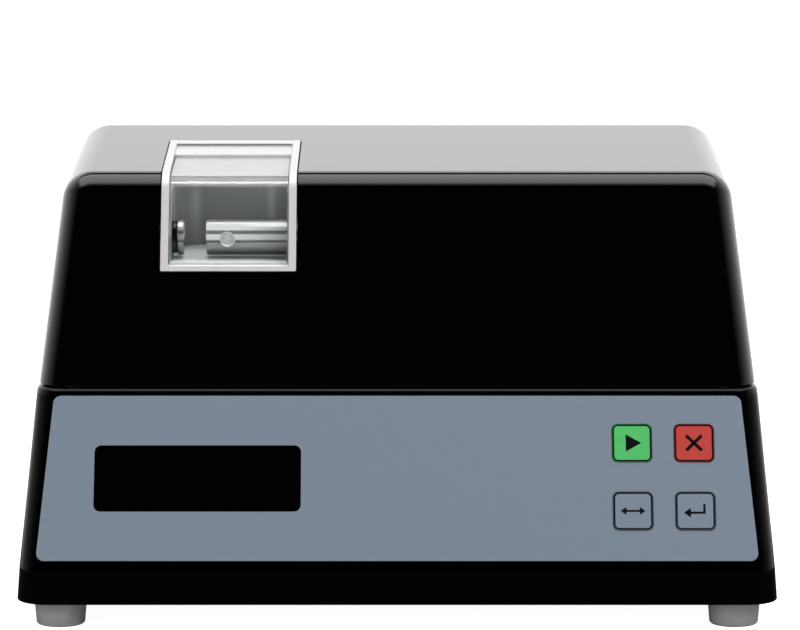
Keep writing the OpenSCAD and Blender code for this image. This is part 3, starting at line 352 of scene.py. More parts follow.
def tint(t, value, dark, light, a=0.35, b=0.65):
    r = t.nodes.new("ShaderNodeValToRGB")
    r.color_ramp.elements[0].position = a
    r.color_ramp.elements[1].position = b
    r.color_ramp.elements[0].color = (*dark, 1)
    r.color_ramp.elements[1].color = (*light, 1)
    t.links.new(value, r.inputs["Fac"])
    return r.outputs["Color"]


def bump(t, b, height, strength, distance):
    n = t.nodes.new("ShaderNodeBump")
    n.inputs["Strength"].default_value = strength
    n.inputs["Distance"].default_value = distance
    t.links.new(height, n.inputs["Height"])
    t.links.new(n.outputs["Normal"], b.inputs["Normal"])


def gloss_black(name):
    """Clear-coated black, as on the hood."""
    m, t, b = new_material(name, (0.0005, 0.0005, 0.0006), 0.1)
    b.inputs["Coat Weight"].default_value = 1.0
    b.inputs["Coat Roughness"].default_value = 0.04
    b.inputs["Coat IOR"].default_value = 1.5
    n = noise(t, coords(t), 260.0, 2.0)
    t.links.new(to_range(t, n, 0.08, 0.13), b.inputs["Roughness"])
    bump(t, b, noise(t, coords(t), 900.0, 1.0), 0.02, 0.0001)
    return m


def plastic(name, colour, rough=0.4, grain=900.0, depth=0.12, spread=0.08, **sockets):
    m, t, b = new_material(name, colour, rough, **sockets)
    v = coords(t)
    n = noise(t, v, grain, 3.0)
    t.links.new(to_range(t, n, rough - 0.06, rough + 0.06), b.inputs["Roughness"])
    dark = tuple(c * (1 - spread) for c in colour)
    light = tuple(min(1, c * (1 + spread)) for c in colour)
    t.links.new(tint(t, noise(t, v, grain / 8, 4.0), dark, light), b.inputs["Base Color"])
    bump(t, b, n, depth, 0.0002)
    return m


def brushed(name, colour, rough=0.25, along=(1, 1, 1), scale=1500.0,
            spread=0.06, depth=0.05, rspread=0.06, metal=1.0, **sockets):
    """Metal with fine lines; along squeezes the noise so that it runs as lines."""
    m, t, b = new_material(name, colour, rough, metal, **sockets)
    v = coords(t, along)
    n = noise(t, v, scale, 4.0, 0.6)
    t.links.new(to_range(t, n, rough - rspread, rough + rspread), b.inputs["Roughness"])
    dark = tuple(c * (1 - spread) for c in colour)
    light = tuple(min(1, c * (1 + spread)) for c in colour)
    t.links.new(tint(t, n, dark, light), b.inputs["Base Color"])
    bump(t, b, n, depth, 0.0001)
    return m


BLACK = gloss_black("housing_black")
BASE_BLACK = gloss_black("base_black")
OVERLAY = plastic("overlay_blue", (0.181, 0.224, 0.280), 0.42, 2500.0, 0.03, 0.008)
WINDOW = plastic("window_black", (0.0004, 0.0004, 0.0004), 0.1, 600.0, 0.003, 0.05)
INK = plastic("ink_black", (0.004, 0.004, 0.005), 0.35, 1500.0, 0.03, 0.05)
GREEN = plastic("key_green", (0.073, 0.488, 0.125), 0.4, 2500.0, 0.04, 0.02)
RED = plastic("key_red", (0.486, 0.0435, 0.035), 0.4, 2500.0, 0.04, 0.02)
RUBBER = plastic("foot_rubber", (0.33, 0.33, 0.334), 0.75, 1200.0, 0.2, 0.06)
FRAME_STEEL = brushed(
    "frame_steel", (0.92, 0.92, 0.925), 0.36, (1, 0.06, 0.06), 2600.0, 0.02, 0.02, 0.04, 0.45,
)
POLISHED = brushed("polished_edge", (0.6, 0.6, 0.605), 0.25, (0.06, 1, 1), 2600.0, 0.02, 0.01, 0.02, 0.8)
SATIN = brushed("grub_satin", (0.85, 0.85, 0.855), 0.3, (1, 1, 1), 1500.0, 0.03, 0.03, 0.04, 0.4)
TRAY = brushed("tray_steel", (0.95, 0.95, 0.955), 0.45, (0.06, 1, 1), 2600.0, 0.02, 0.02, 0.04, 0.12)
BRIGHT = brushed("bright_steel", (0.66, 0.66, 0.665), 0.14, (0.1, 1, 1), 2200.0, 0.03, 0.02, 0.04)
SCREW = brushed("screw_steel", (0.6, 0.6, 0.61), 0.3, (1, 1, 1), 1500.0)
ALLOY = brushed("plate_aluminium", (0.62, 0.63, 0.65), 0.38, (0.1, 1, 1), 1400.0)
BRONZE = brushed("bronze", (0.62, 0.42, 0.2), 0.35, (0.2, 1, 1), 1400.0)
BOARD = plastic("board", (0.02, 0.12, 0.05), 0.45, 500.0, 0.05, 0.15)
PART_BLACK = plastic("part_black", (0.012, 0.012, 0.013), 0.45, 1100.0, 0.15, 0.1)
MOTOR = plastic("motor_black", (0.02, 0.02, 0.022), 0.4, 700.0, 0.1, 0.1)
RING = plastic("ring_black", (0.004, 0.004, 0.004), 0.12, 700.0, 0.02, 0.05)


def xyz_of(t, output="Object"):
    c = t.nodes.new("ShaderNodeTexCoord")
    xyz = t.nodes.new("ShaderNodeSeparateXYZ")
    t.links.new(c.outputs[output], xyz.inputs[0])
    return xyz.outputs


def axis_ramp(t, axis, stops):
    """Grey value that follows one object coordinate; stops are (millimetres, value)."""
    low, high = stops[0][0] * MM, stops[-1][0] * MM
    at = t.nodes.new("ShaderNodeMapRange")
    at.inputs["From Min"].default_value = low
    at.inputs["From Max"].default_value = high
    t.links.new(xyz_of(t)[axis], at.inputs["Value"])
    r = t.nodes.new("ShaderNodeValToRGB")
    e = r.color_ramp.elements
    while len(e) < len(stops):
        e.new(0.5)
    for k, (z, v) in enumerate(stops):
        e[k].position = (z * MM - low) / (high - low)
        e[k].color = (v, v, v, 1)
    t.links.new(at.outputs["Result"], r.inputs["Fac"])
    return r.outputs["Color"]


def mixed(t, fac, first, second):
    n = t.nodes.new("ShaderNodeMixShader")
    t.links.new(fac, n.inputs["Fac"])
    t.links.new(first, n.inputs[1])
    t.links.new(second, n.inputs[2])
    return n.outputs["Shader"]


def diffuse(t, colour):
    n = t.nodes.new("ShaderNodeBsdfDiffuse")
    n.inputs["Color"].default_value = (*colour, 1)
    return n.outputs["BSDF"]


def surface(t, shader):
    t.links.new(shader, t.nodes["Material Output"].inputs["Surface"])


def math_node(t, op, a, b=None):
    n = t.nodes.new("ShaderNodeMath")
    n.operation = op
    for i, v in enumerate((a, b)):
        if v is None:
            continue
        if isinstance(v, (int, float)):
            n.inputs[i].default_value = v
        else:
            t.links.new(v, n.inputs[i])
    return n.outputs[0]


def times(t, a, b):
    return math_node(t, "MULTIPLY", a, b)


def liner_sheet():
    """Satin sheet whose two rounded corners carry a soft paler line, a painted highlight; the sheet also
    darkens towards the floor by painted shade.
    """
    m, t, b = new_material("liner_steel", (0.56, 0.56, 0.565), 0.5, 0.5)
    n = noise(t, coords(t, (1, 1, 0.05)), 2600.0, 3.0)
    t.links.new(to_range(t, n, 0.47, 0.53), b.inputs["Roughness"])
    # Painted shade: the base colour darkens towards the chamber floor
    base = axis_ramp(t, "Z", [(150, 0.22), (160, 0.27), (172, 0.42), (186, 0.72)])
    t.links.new(base, b.inputs["Base Color"])
    # Painted highlight: a pale matt streak at each rounded corner, growing towards the top
    across = axis_ramp(t, "X", [
        (-104, 0.14), (-95.0, 0.2), (-91.6, 0.75), (-88.2, 0.06),
        (-60.2, 0), (-57.4, 0.6), (-54.6, 0.03), (-44, 0),
    ])
    up = axis_ramp(t, "Z", [(150, 0.1), (162, 0.35), (174, 1.0), (186, 0.8)])
    surface(t, mixed(t, times(t, across, up), b.outputs["BSDF"], diffuse(t, (0.85, 0.85, 0.86))))
    return m


def jaw_bar():
    """Ground bar, lighter above and darker below by painted shade, with pale bands along its front that are
    painted reflections.
    """
    m, t, b = new_material("jaw_steel", (0.66, 0.66, 0.665), 0.14, 1.0)
    n = noise(t, coords(t, (0.1, 1, 1)), 2200.0, 3.0)
    t.links.new(to_range(t, n, 0.17, 0.22), b.inputs["Roughness"])
    bump(t, b, n, 0.02, 0.0001)
    # Painted reflections: two pale matt bands along the front, with a darker gap between them
    band = axis_ramp(t, "Z", [
        (150, 0), (158.5, 0), (159.1, 0.8), (159.6, 1.0), (161.3, 1.0), (161.7, 0.12),
        (163.0, 0.12), (163.25, 1.0), (165.9, 1.0), (166.4, 0), (168, 0),
    ])
    # The painted reflections weaken towards both ends of the bar
    along = axis_ramp(t, "X", [
        (-98, 0.35), (-94, 0.4), (-87, 0.95), (-80, 1), (-72, 1), (-58, 0.7), (-37, 0.5),
    ])
    # Painted shade: the base colour darkens towards the underside
    painted_underside_shade = axis_ramp(t, "Z", [
        (150, 0.1), (152.5, 0.16), (154.5, 0.3), (158.4, 0.34), (159.0, 0.66), (168, 0.66),
    ])
    t.links.new(painted_underside_shade, b.inputs["Base Color"])
    surface(t, mixed(t, times(t, band, along), b.outputs["BSDF"], diffuse(t, (0.95, 0.95, 0.955))))
    return m


def fade_below(m, z, spec):
    """Keeps the coat of a black above the height z only, as on the base's bright lip."""
    t = m.node_tree
    b = t.nodes["Principled BSDF"]
    coat = axis_ramp(t, "Z", [(0, 0), (z - 0.4, 0), (z, 0.35), (z + 10, 0.35)])
    t.links.new(coat, b.inputs["Coat Weight"])
    b.inputs["Specular IOR Level"].default_value = spec


fade_below(BASE_BLACK, BASE_TOP - 2.8, 0.12)
LINER = liner_sheet()
JAW = jaw_bar()


def clear(name):
    """Clear sheet with a hard coat. Pale matt bands follow the height: painted light along the lower edge,
    a painted highlight on the bend and a painted reflection on the top.
    """
    m, t, b = new_material(name, (0.93, 0.95, 0.95), 0.02, 0.0)
    b.inputs["Transmission Weight"].default_value = 1.0
    b.inputs["IOR"].default_value = 1.49
    b.inputs["Coat Weight"].default_value = 0.45
    b.inputs["Coat Roughness"].default_value = 0.03
    t.links.new(to_range(t, noise(t, coords(t), 180.0, 2.0), 0.012, 0.02), b.inputs["Roughness"])
    # Painted light: pale matt mixed in at the lower edge, along the bend and over the top
    painted_light_bands = axis_ramp(t, "Z", [
        (150, 0.25), (151.1, 0.25), (151.5, 0), (182.5, 0), (182.9, 0.12), (183.8, 0.15),
        (184.15, 0.2), (184.6, 0.2), (184.9, 0.02), (186.6, 0.02), (186.9, 0.0), (187.15, 0.0),
        (187.4, 0.4), (192, 0.4),
    ])
    lid_with_painted_light = mixed(t, painted_light_bands, b.outputs["BSDF"], diffuse(t, (0.92, 0.92, 0.925)))
    # Shadow rays pass, so that the chamber below is lit
    see = t.nodes.new("ShaderNodeBsdfTransparent")
    see.inputs["Color"].default_value = (0.9, 0.92, 0.92, 1)
    shadow = t.nodes.new("ShaderNodeLightPath").outputs["Is Shadow Ray"]
    surface(t, mixed(t, shadow, lid_with_painted_light, see.outputs["BSDF"]))
    return m


CLEAR = clear("lid_clear")


# ---------------------------------------------------------------- the two shells
CH_L, CH_R, CH_Z, CH_BACK, CH_GAP = -104.7, -44.7, 148.0, 45.0, 0.6
CORNERS = ((1, -1, -90), (1, 1, 0), (-1, 1, 90), (-1, -1, 180))
STEPS = 14


def lean(dx, dz, disc_r, ball_r):
    """Angle above level of the normal common to a disc and a ball.

    The disc of radius disc_r lies below. The ball of radius ball_r has its centre dx outwards of
    the disc's centre and dz above it.
    """
    a, b = dx - disc_r, dz
    big = math.hypot(a, b)
    base = math.atan2(b, a)
    for psi in (base - math.acos(-ball_r / big), base + math.acos(-ball_r / big)):
        if -0.2 < psi < 1.3:
            return psi
    return 0.0


def columns(x_stations, mid):
    """Order of the columns round a shell: corners with their turns, and the stations between them."""
    cols = [("s", "front", x) for x in x_stations]
    for k, (_, _, a0) in enumerate(CORNERS):
        cols += [("c", k, a0 + 90 * i / STEPS) for i in range(STEPS + 1)]
        if k == 0:
            cols += [("s", "right", mid)] if mid is not None else []
        if k == 1:
            cols += [("s", "back", x) for x in reversed(x_stations)]
        if k == 2:
            cols += [("s", "left", mid)] if mid is not None else []
    return cols


def hood_points(s, cols, cut_z, arc=12):
    r = EDGE_R - s
    f, b = front_edge(s), back_edge(s)
    tf, tb = (90 - FACE - SLOPE) / 2, (90 - BACK + SLOPE) / 2
    fc = (f[0] + r / cos(tf) * cos(FACE + tf), f[1] - r / cos(tf) * sin(FACE + tf))
    bc = (b[0] - r / cos(tb) * cos(BACK + tb), b[1] - r / cos(tb) * sin(BACK + tb))
    top = Vector((0, -sin(SLOPE), cos(SLOPE)))
    ball, disc = {}, {}
    for k, (sx, sy, _) in enumerate(CORNERS):
        c = fc if sy < 0 else bc
        ball[k] = Vector((sx * (hood_side(c[1], s) - r / cos(HOOD_DRAFT)), c[0], c[1]))
        y = hood_front(HOOD_Z, s) + r if sy < 0 else hood_back(HOOD_Z, s) - r
        disc[k] = Vector((sx * (hood_side(HOOD_Z, s) - r), y, HOOD_Z))

    def corner(k, a):
        d = Vector((cos(a), sin(a), 0))
        v = ball[k] - disc[k]
        psi = lean(v.dot(d), v.z, r, r)
        n = d * math.cos(psi) + Vector((0, 0, math.sin(psi)))
        return disc[k] + r * d, n

    rows = []
    for kind, what, value in cols:
        if kind == "c":
            low, n = corner(what, value)
            centre = ball[what]
        else:
            pick = {"front": (3, 0, 270), "back": (1, 2, 90), "right": (0, 1, 0), "left": (2, 3, 180)}[what]
            p0, n = corner(pick[0], pick[2] if pick[2] < 270 else -90)
            p1, _ = corner(pick[1], pick[2] if pick[2] < 270 else -90)
            c0, c1 = ball[pick[0]], ball[pick[1]]
            axis = 0 if what in ("front", "back") else 1
            low = p0 + (p1 - p0) * ((value - p0[axis]) / (p1[axis] - p0[axis]))
            centre = c0 + (c1 - c0) * ((value - c0[axis]) / (c1[axis] - c0[axis]))
        high = centre + r * n
        if what in ("front", "back"):
            low = Vector((value, low.y, low.z))
        col = []
        rho = 0.45 if s == 0 else 0.02
        z1 = HOOD_Z + rho * (1 + n.z)
        base = low + (high - low) * ((z1 - low.z) / (high.z - low.z))
        hub = base - rho * n
        for i in range(3, -1, -1):
            m = slerp(n, (0, 0, -1), i / 3)
            col.append((hub + rho * m, m))
        col.append((low + (high - low) * ((cut_z - low.z) / (high.z - low.z)), n))
        for i in range(arc + 1):
            m = slerp(n, top, i / arc)
            col.append((centre + r * m, m))
        rows.append(col)
    return rows, top


def shell_faces(shape, cols, rows, flip, skip=lambda c0, c1, row: False, mat=0, corner_top=True):
    """Adds the columns of points, joins neighbours with faces and returns the vertex numbers."""
    last = len(rows[0]) - 1
    ids, apex = [], {}
    for (kind, what, value), col in zip(cols, rows):
        line = []
        for j, (p, n) in enumerate(col):
            if corner_top and kind == "c" and j == last:
                if what not in apex:
                    apex[what] = shape.add(p)
                line.append(apex[what])
            else:
                line.append(shape.add(p))
        ids.append(line)
    count = len(cols)
    for c in range(count):
        d = (c + 1) % count
        for j in range(last):
            if skip(cols[c], cols[d], j):
                continue
            q = [ids[c][j], ids[d][j], ids[d][j + 1], ids[c][j + 1]]
            n = [rows[c][j][1], rows[d][j][1], rows[d][j + 1][1], rows[c][j + 1][1]]
            if flip:
                q, n = q[::-1], [-x for x in n[::-1]]
            shape.face(q, n, mat)
    return ids


def rims(shape, outer, inner, first_outer, last_outer):
    """Closes the gap between two skins of equal make along the outer skin's open edges."""
    pair = {}
    for a, b in zip(outer, inner):
        for i, j in zip(a, b):
            pair[i] = j
    used = {}
    for f in shape.f[first_outer:last_outer]:
        for i in range(len(f)):
            used[(f[i], f[(i + 1) % len(f)])] = True
    for a, b in list(used):
        if (b, a) not in used and a in pair and b in pair:
            shape.face([b, a, pair[a], pair[b]])


def build_hood():
    x0, x1 = CH_L - CH_GAP, CH_R + CH_GAP
    y1, z1 = CH_BACK + CH_GAP, CH_Z - CH_GAP
    cols = columns([x0, x1], y1)
    shape = Shape()

    def skip(a, b, row):
        return a[0] == "s" and b[0] == "s" and a[1] == b[1] == "front" and row >= 4

    sets = []
    for s, flip in ((0.0, False), (WALL, True)):
        start = len(shape.f)
        rows, top = hood_points(s, cols, z1)
        ids = shell_faces(shape, cols, rows, flip, skip)
        t = [line[-1] for line in ids]
        index = {c: i for i, c in enumerate(cols)}
        fr = [t[index[("s", "front", x)]] for x in (x0, x1)]
        bk = [t[index[("s", "back", x)]] for x in (x0, x1)]
        rt, lf = t[index[("s", "right", y1)]], t[index[("s", "left", y1)]]
        cr = [t[index[("c", k, CORNERS[k][2])]] for k in range(4)]
        inner = [shape.add((x, y1, hood_top(y1, s))) for x in (x0, x1)]
        quads = [
            [cr[3], fr[0], inner[0], lf], [fr[1], cr[0], rt, inner[1]],
            [lf, inner[0], bk[0], cr[2]], [inner[0], inner[1], bk[1], bk[0]], [inner[1], rt, cr[1], bk[1]],
        ]
        for q in quads:
            n = -top if flip else top
            shape.face(q[::-1] if flip else q, [n] * 4)
        sets.append((ids + [inner], start, len(shape.f)))
    rims(shape, sets[0][0], sets[1][0], sets[0][1], sets[0][2])
    obj = make("hood_shell", shape, [BLACK], "housing", "housing_black")
    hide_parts("hood")
    return obj


# Row of the base's columns from which the flat panel rises
BEND_ROW = 10


def base_points(s, cols, bend_r=3.5):
    r = EDGE_R - s
    t = SHOULDER_R if s == 0 else 1.0
    top_z = BASE_TOP - s
    zt = top_z - t
    shift = t * (1 / cos(FACE) - 1)
    hub, disc, low = {}, {}, {}
    for k, (sx, sy, _) in enumerate(CORNERS):
        y = base_front(zt, s) + r + shift if sy < 0 else base_back(zt, s) - r
        hub[k] = Vector((sx * (base_side(zt, s) - r), y, zt))
        y = base_front(BEND, s) + r if sy < 0 else base_back(BEND, s) - r
        disc[k] = Vector((sx * (base_side(BEND, s) - r), y, BEND))
        y = base_front(BEND, s) + r if sy < 0 else base_back(BOTTOM, s) - r
        low[k] = Vector((sx * (base_side(BOTTOM, s) - r), y, BOTTOM))

    def corner(k, a):
        d = Vector((cos(a), sin(a), 0))
        v = hub[k] - disc[k]
        psi = lean(v.dot(d) + (r - t), v.z, r, t)
        n = d * math.cos(psi) + Vector((0, 0, math.sin(psi)))
        w = low[k] - disc[k]
        n_low = (d * (-w.z) + Vector((0, 0, 1)) * w.dot(d)).normalized()
        return low[k] + r * d, disc[k] + r * d, hub[k] + (r - t) * d, n_low, n

    rows = []
    for kind, what, value in cols:
        if kind == "c":
            p_low, p_bend, centre, n_low, n = corner(what, value)
        else:
            pick = {"front": (3, 0, -90), "back": (1, 2, 90), "right": (0, 1, 0), "left": (2, 3, 180)}[what]
            a, b = corner(pick[0], pick[2]), corner(pick[1], pick[2])
            axis = 0 if what in ("front", "back") else 1
            p_low, p_bend, centre = (
                p + (q - p) * ((value - p[axis]) / (q[axis] - p[axis])) for p, q in zip(a[:3], b[:3])
            )
            n_low, n = a[3], a[4]
        high = centre + t * n
        col = []
        rho = 0.7 if s == 0 else 0.02
        z1 = BOTTOM + rho * (1 + n_low.z)
        edge = p_low + (p_bend - p_low) * ((z1 - p_low.z) / (p_bend.z - p_low.z))
        c = edge - rho * n_low
        for i in range(3, -1, -1):
            m = slerp(n_low, (0, 0, -1), i / 3)
            col.append((c + rho * m, m))
        # Bend: an arc that touches both faces
        w = n_low.angle(n)
        cut = max(bend_r * math.tan(w / 2), 0.4)
        up, down = (high - p_bend).normalized(), (p_low - p_bend).normalized()
        c = p_bend + down * cut - n_low * (cut / math.tan(w / 2) if w > 1e-4 else 0)
        for i in range(7):
            m = slerp(n_low, n, i / 6)
            if w > 1e-3:
                col.append((c + m * (cut / math.tan(w / 2)), m))
            elif i < 3:
                col.append((p_bend + down * cut * (1 - i / 3), m))
            else:
                col.append((p_bend + up * cut * (i - 3) / 3, m))
        for i in range(7):
            m = slerp(n, (0, 0, 1), i / 6)
            col.append((centre + t * m, m))
        rows.append(col)
    return rows


def label_loop(grow=0.0, steps=10):
    low, high, y0, y1, r = 156.1 + grow, 149.9 + grow, 4.9 - grow, 80.0 + grow, 3.5
    side = (low - high) / (y1 - y0)

    def half(y):
        return low - (y - y0) * side - r

    pts = []
    for qx, y, a0 in ((1, y1 - r, 0), (-1, y1 - r, 90), (-1, y0 + r, 180), (1, y0 + r, 270)):
        for k in range(steps + 1):
            a = a0 + 90 * k / steps
            pts.append((qx * half(y) + r * cos(a), y + r * sin(a)))
    return pts


KEYS = [(102.1, 58.25), (129.1, 58.25), (102.1, 27.35), (129.1, 27.35)]


def pocket(shape, loops, mat=0):
    """Walls between equal loops at successive depths."""
    for a, b in zip(loops, loops[1:]):
        n = len(a)
        for i in range(n):
            shape.face([a[i], a[(i + 1) % n], b[(i + 1) % n], b[i]], None, mat)


def build_base():
    cols = columns([], None)
    shape = Shape()
    names = {col: c for c, col in enumerate(cols)}

    def flat(a, b, row):
        if a[0] == "c" and b[0] == "c" and a[1] != b[1] and row == BEND_ROW:
            return (a[1], b[1]) in ((3, 0), (1, 2))
        return False

    sets = []
    for s, flip in ((0.0, False), (WALL, True)):
        start = len(shape.f)
        rows = base_points(s, cols)
        ids = shell_faces(shape, cols, rows, flip, flat, corner_top=False)
        # Flat top
        loop = [line[-1] for line in ids]
        up = Vector((0, 0, -1 if flip else 1))
        fill(shape, loop, [], lambda p: (p.x, p.y), up)
        n_front = rows[names[("c", 0, -90.0)]][BEND_ROW][1]
        n_back = rows[names[("c", 1, 90.0)]][BEND_ROW][1]
        c3, c0 = names[("c", 3, 270.0)], names[("c", 0, -90.0)]
        c1, c2 = names[("c", 1, 90.0)], names[("c", 2, 90.0)]
        front_quad = [ids[c3][BEND_ROW], ids[c0][BEND_ROW], ids[c0][BEND_ROW + 1], ids[c3][BEND_ROW + 1]]
        back_quad = [ids[c1][BEND_ROW], ids[c2][BEND_ROW], ids[c2][BEND_ROW + 1], ids[c1][BEND_ROW + 1]]
        if s == 0:
            rings = []
            for kx, kl in KEYS:
                a = [shape.add(panel(x, l, 0)) for x, l in round_rect(18.2, 18.2, 2, 6, kx, kl)]
                b = [shape.add(panel(x, l, -2.05)) for x, l in round_rect(18.2, 18.2, 2, 6, kx, kl)]
                pocket(shape, [a, b])
                fill(shape, b, [], lambda p: (p.x, p.z), n_front)
                rings.append(a)
            fill(shape, front_quad, rings, lambda p: (p.x, p.z), n_front)
            outer_hole = [shape.add(rear(x, y, 0)) for x, y in round_rect(150.4, 50.4, 3, 8)]
            seat = [shape.add(rear(x, y, -2)) for x, y in round_rect(150.4, 50.4, 3, 8)]
            inner_hole = [shape.add(rear(x, y, -2)) for x, y in round_rect(136, 40, 3, 8)]
            fill(shape, back_quad, [outer_hole], lambda p: (-p.x, p.z), n_back)
            pocket(shape, [outer_hole[::-1], seat[::-1], inner_hole[::-1]])
        else:
            fill(shape, front_quad, [], lambda p: (p.x, p.z), -n_front)
            last = [shape.add(rear(x, y, -WALL)) for x, y in round_rect(136, 40, 3, 8)]
            fill(shape, back_quad, [last], lambda p: (-p.x, p.z), -n_back)
            pocket(shape, [inner_hole[::-1], last[::-1]])
        sets.append((ids, start, len(shape.f)))
    # Bottom rim
    a, b = [line[0] for line in sets[0][0]], [line[0] for line in sets[1][0]]
    n = len(a)
    for i in range(n):
        shape.face([a[(i + 1) % n], a[i], b[i], b[(i + 1) % n]])
    obj = make("base_shell_body", shape, [BASE_BLACK], "housing", "housing_black")
    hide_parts("base_shell")
    return obj


build_hood()
build_base()


# ---------------------------------------------------------------- control panel
def build_overlay():
    shape = Shape()
    holes = [round_rect(89.8, 30.1, 3, 8, -86.7, 42.2)]
    holes += [round_rect(17.7, 17.7, 2.75, 8, x, l) for x, l in KEYS]
    prism(shape, label_loop(), -0.8, 0.2, panel, 0.08, 0, holes)
    obj = make("panel_overlay_sheet", shape, [OVERLAY], "housing", "overlay_blue", 30)
    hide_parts("panel_overlay")


def stroke(shape, pts, width, top, place, mat, closed=False):
    """Flat line of even width through the points, raised by a hair over the key."""
    n = len(pts)
    left, right = [], []
    for i in range(n):
        p = Vector(pts[i])
        a = Vector(pts[i - 1]) if i or closed else p
        b = Vector(pts[(i + 1) % n]) if i < n - 1 or closed else p
        d0 = (p - a).normalized() if (p - a).length > 1e-9 else (b - p).normalized()
        d1 = (b - p).normalized() if (b - p).length > 1e-9 else d0
        m = Vector((-d0.y - d1.y, d0.x + d1.x))
        m.normalize()
        k = width / 2 / max(0.4, m.dot(Vector((-d0.y, d0.x))))
        left.append(p + m * k)
        right.append(p - m * k)
    if closed:
        outer = [tuple(p) for p in right]
        inner = [tuple(p) for p in left]
        if abs(area2(outer)) < abs(area2(inner)):
            outer, inner = inner, outer
        prism(shape, outer, top - 0.03, top, place, 0, mat, [inner])
    else:
        prism(shape, [tuple(p) for p in left + right[::-1]], top - 0.03, top, place, 0, mat)


def solid(shape, pts, top, place, mat):
    prism(shape, pts, top - 0.03, top, place, 0, mat)


def lines(*strokes, width=1.1):
    def draw(shape, top, place):
        for pts in strokes:
            stroke(shape, pts, width, top, place, 1)
    return draw


def shapes(*polys):
    def draw(shape, top, place):
        for pts in polys:
            solid(shape, pts, top, place, 1)
    return draw


build_overlay()


def build_keys():
    marks = [
        [shapes([(-2.7, -3.9), (4.1, 0), (-2.7, 3.9)])],
        [lines([(-3.4, -3.4), (3.4, 3.4)], [(-3.4, 3.4), (3.4, -3.4)], width=1.5)],
        [
            lines([(-3.4, 0), (3.4, 0)], width=0.9),
            shapes([(-5.4, 0), (-2.9, -1.8), (-2.9, 1.8)], [(5.4, 0), (2.9, 1.8), (2.9, -1.8)]),
        ],
        [
            lines([(3.9, 3.2), (3.9, -0.8), (-2.5, -0.8)], width=1.0),
            shapes([(-5.0, -0.8), (-2.0, -3.0), (-2.0, 1.4)]),
        ],
    ]
    colours = [GREEN, RED, OVERLAY, OVERLAY]
    slots = ["key_green", "key_red", "key_plain", "key_plain"]
    top = 0.45
    for i, word in enumerate(("start", "cancel", "size", "enter")):
        cx, cl = KEYS[i]
        shape = Shape()

        def place(x, y, h, cx=cx, cl=cl):
            return panel(cx + x, cl + y, h)

        prism(shape, round_rect(17.2, 17.2, 2.5, 8), top - 1.6, top, place, 0.12, 0)
        lathe(shape, [(0, -4), (3, -4), (3, top - 0.9)], place, 32, 0)
        stroke(shape, round_rect(16.2, 16.2, 2.1, 8), 0.8, top + 0.03, place, 1, True)
        for mark in marks[i]:
            mark(shape, top + 0.03, place)
        obj = make("key_%s_cap" % word, shape, [colours[i], INK], word + "_key", slots[i], 30)
        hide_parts("key_" + word)


build_keys()


# ---------------------------------------------------------------- feet
FOOT_R, FOOT_RIM = 10.6, 1.2


def build_feet():
    for i, (sx, sy) in enumerate(((-1, -1), (1, -1), (-1, 1), (1, 1))):
        cx, cy = sx * 146.5, sy * 100.8
        shape = Shape()
        tip = [(FOOT_R - FOOT_RIM * (1 - sin(a)), FOOT_RIM * (1 - cos(a))) for a in range(0, 91, 15)]
        bore = [(0, 8.5), (4.25, 8.5), (4.25, 0.25), (4.5, 0)]
        outside = [(11.45, BOTTOM - 0.5), (11.1, BOTTOM), (0, BOTTOM)]
        lathe(shape, (bore + tip + outside)[::-1], lambda x, y, h: (cx + x, cy + y, h), 96)
        obj = make("rubber_foot_%d" % (i + 1), shape, [RUBBER], "housing", "foot_rubber", 40)
        if i == 0:
            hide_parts("feet")


build_feet()


# ---------------------------------------------------------------- test chamber
LOAD_Y, LOAD_Z = -27.0, 159.3
IN_L, IN_R = CH_L + 3.4, CH_R - 3.4
FLOOR_Z = 150.0
AXIS_Y, AXIS_Z = 11.0, 184.349
STRIP_F, STRIP_B = 15.0, 36.4
BAR_B = 44.4  # back of the rear bar
PROUD = -0.6  # the frame stands out of the hood by this
PIN_R = 1.25
KNUCKLE_R = 2.75
LID_END = AXIS_Y + KNUCKLE_R
JAW_X, JAW_R, JAW_L = -85.1, 8.0, 48.0
GRUB_X = JAW_X + 9.5


def profile(s, z0, y1, r, steps=24):
    """Region inside the hood's surface in the Y-Z plane, moved in by s, down to z0, back to y1."""
    turn = 90 - FACE - SLOPE
    f = front_edge(s)
    k = r / cos(turn / 2)
    c = (f[0] + k * cos(FACE + turn / 2), f[1] - k * sin(FACE + turn / 2))
    angles = [180 - FACE - turn * i / steps for i in range(steps + 1)]
    arc = [(c[0] + r * cos(a), c[1] + r * sin(a)) for a in angles]
    return [(hood_front(z0, s), z0)] + arc + [(y1, hood_top(y1, s)), (y1, z0)]


def plate(name, node, loop, x0, x1, mat, slot, chamfer=0.25, holes=(), body="housing", angle=25):
    shape = Shape()
    prism(shape, loop, x0, x1, along_x, chamfer, 0, holes)
    obj = make(name, shape, [mat], body, slot, angle)
    if node:
        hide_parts(node)
    return obj


def face_material(obj, mat, axis, least, either=False):
    """Second material on the faces that look along the axis, or along it both ways."""
    obj.data.materials.append(mat)
    for q in obj.data.polygons:
        if q.normal[axis] < -least or (either and q.normal[axis] > least):
            q.material_index = 1


def build_cheeks():
    outline = profile(PROUD, CH_Z, CH_BACK, EDGE_R - PROUD)
    for side, x0, x1, r in (("left", CH_L, IN_L, JAW_R), ("right", IN_R, CH_R, 8.7)):
        holes = [ring(LOAD_Y, LOAD_Z, r), ring(AXIS_Y, AXIS_Z, PIN_R, 24)]
        name = side + "_cheek"
        cheek = plate(name + "_plate", name, outline, x0, x1, FRAME_STEEL, "frame_steel", 0.3, holes)
        face_material(cheek, POLISHED, 0, 0.95, True)


build_cheeks()


def cad(materials):
    for node, mat in materials.items():
        o = nodes[node]
        if o.hide_render:
            continue
        o.data.materials.clear()
        o.data.materials.append(mat)


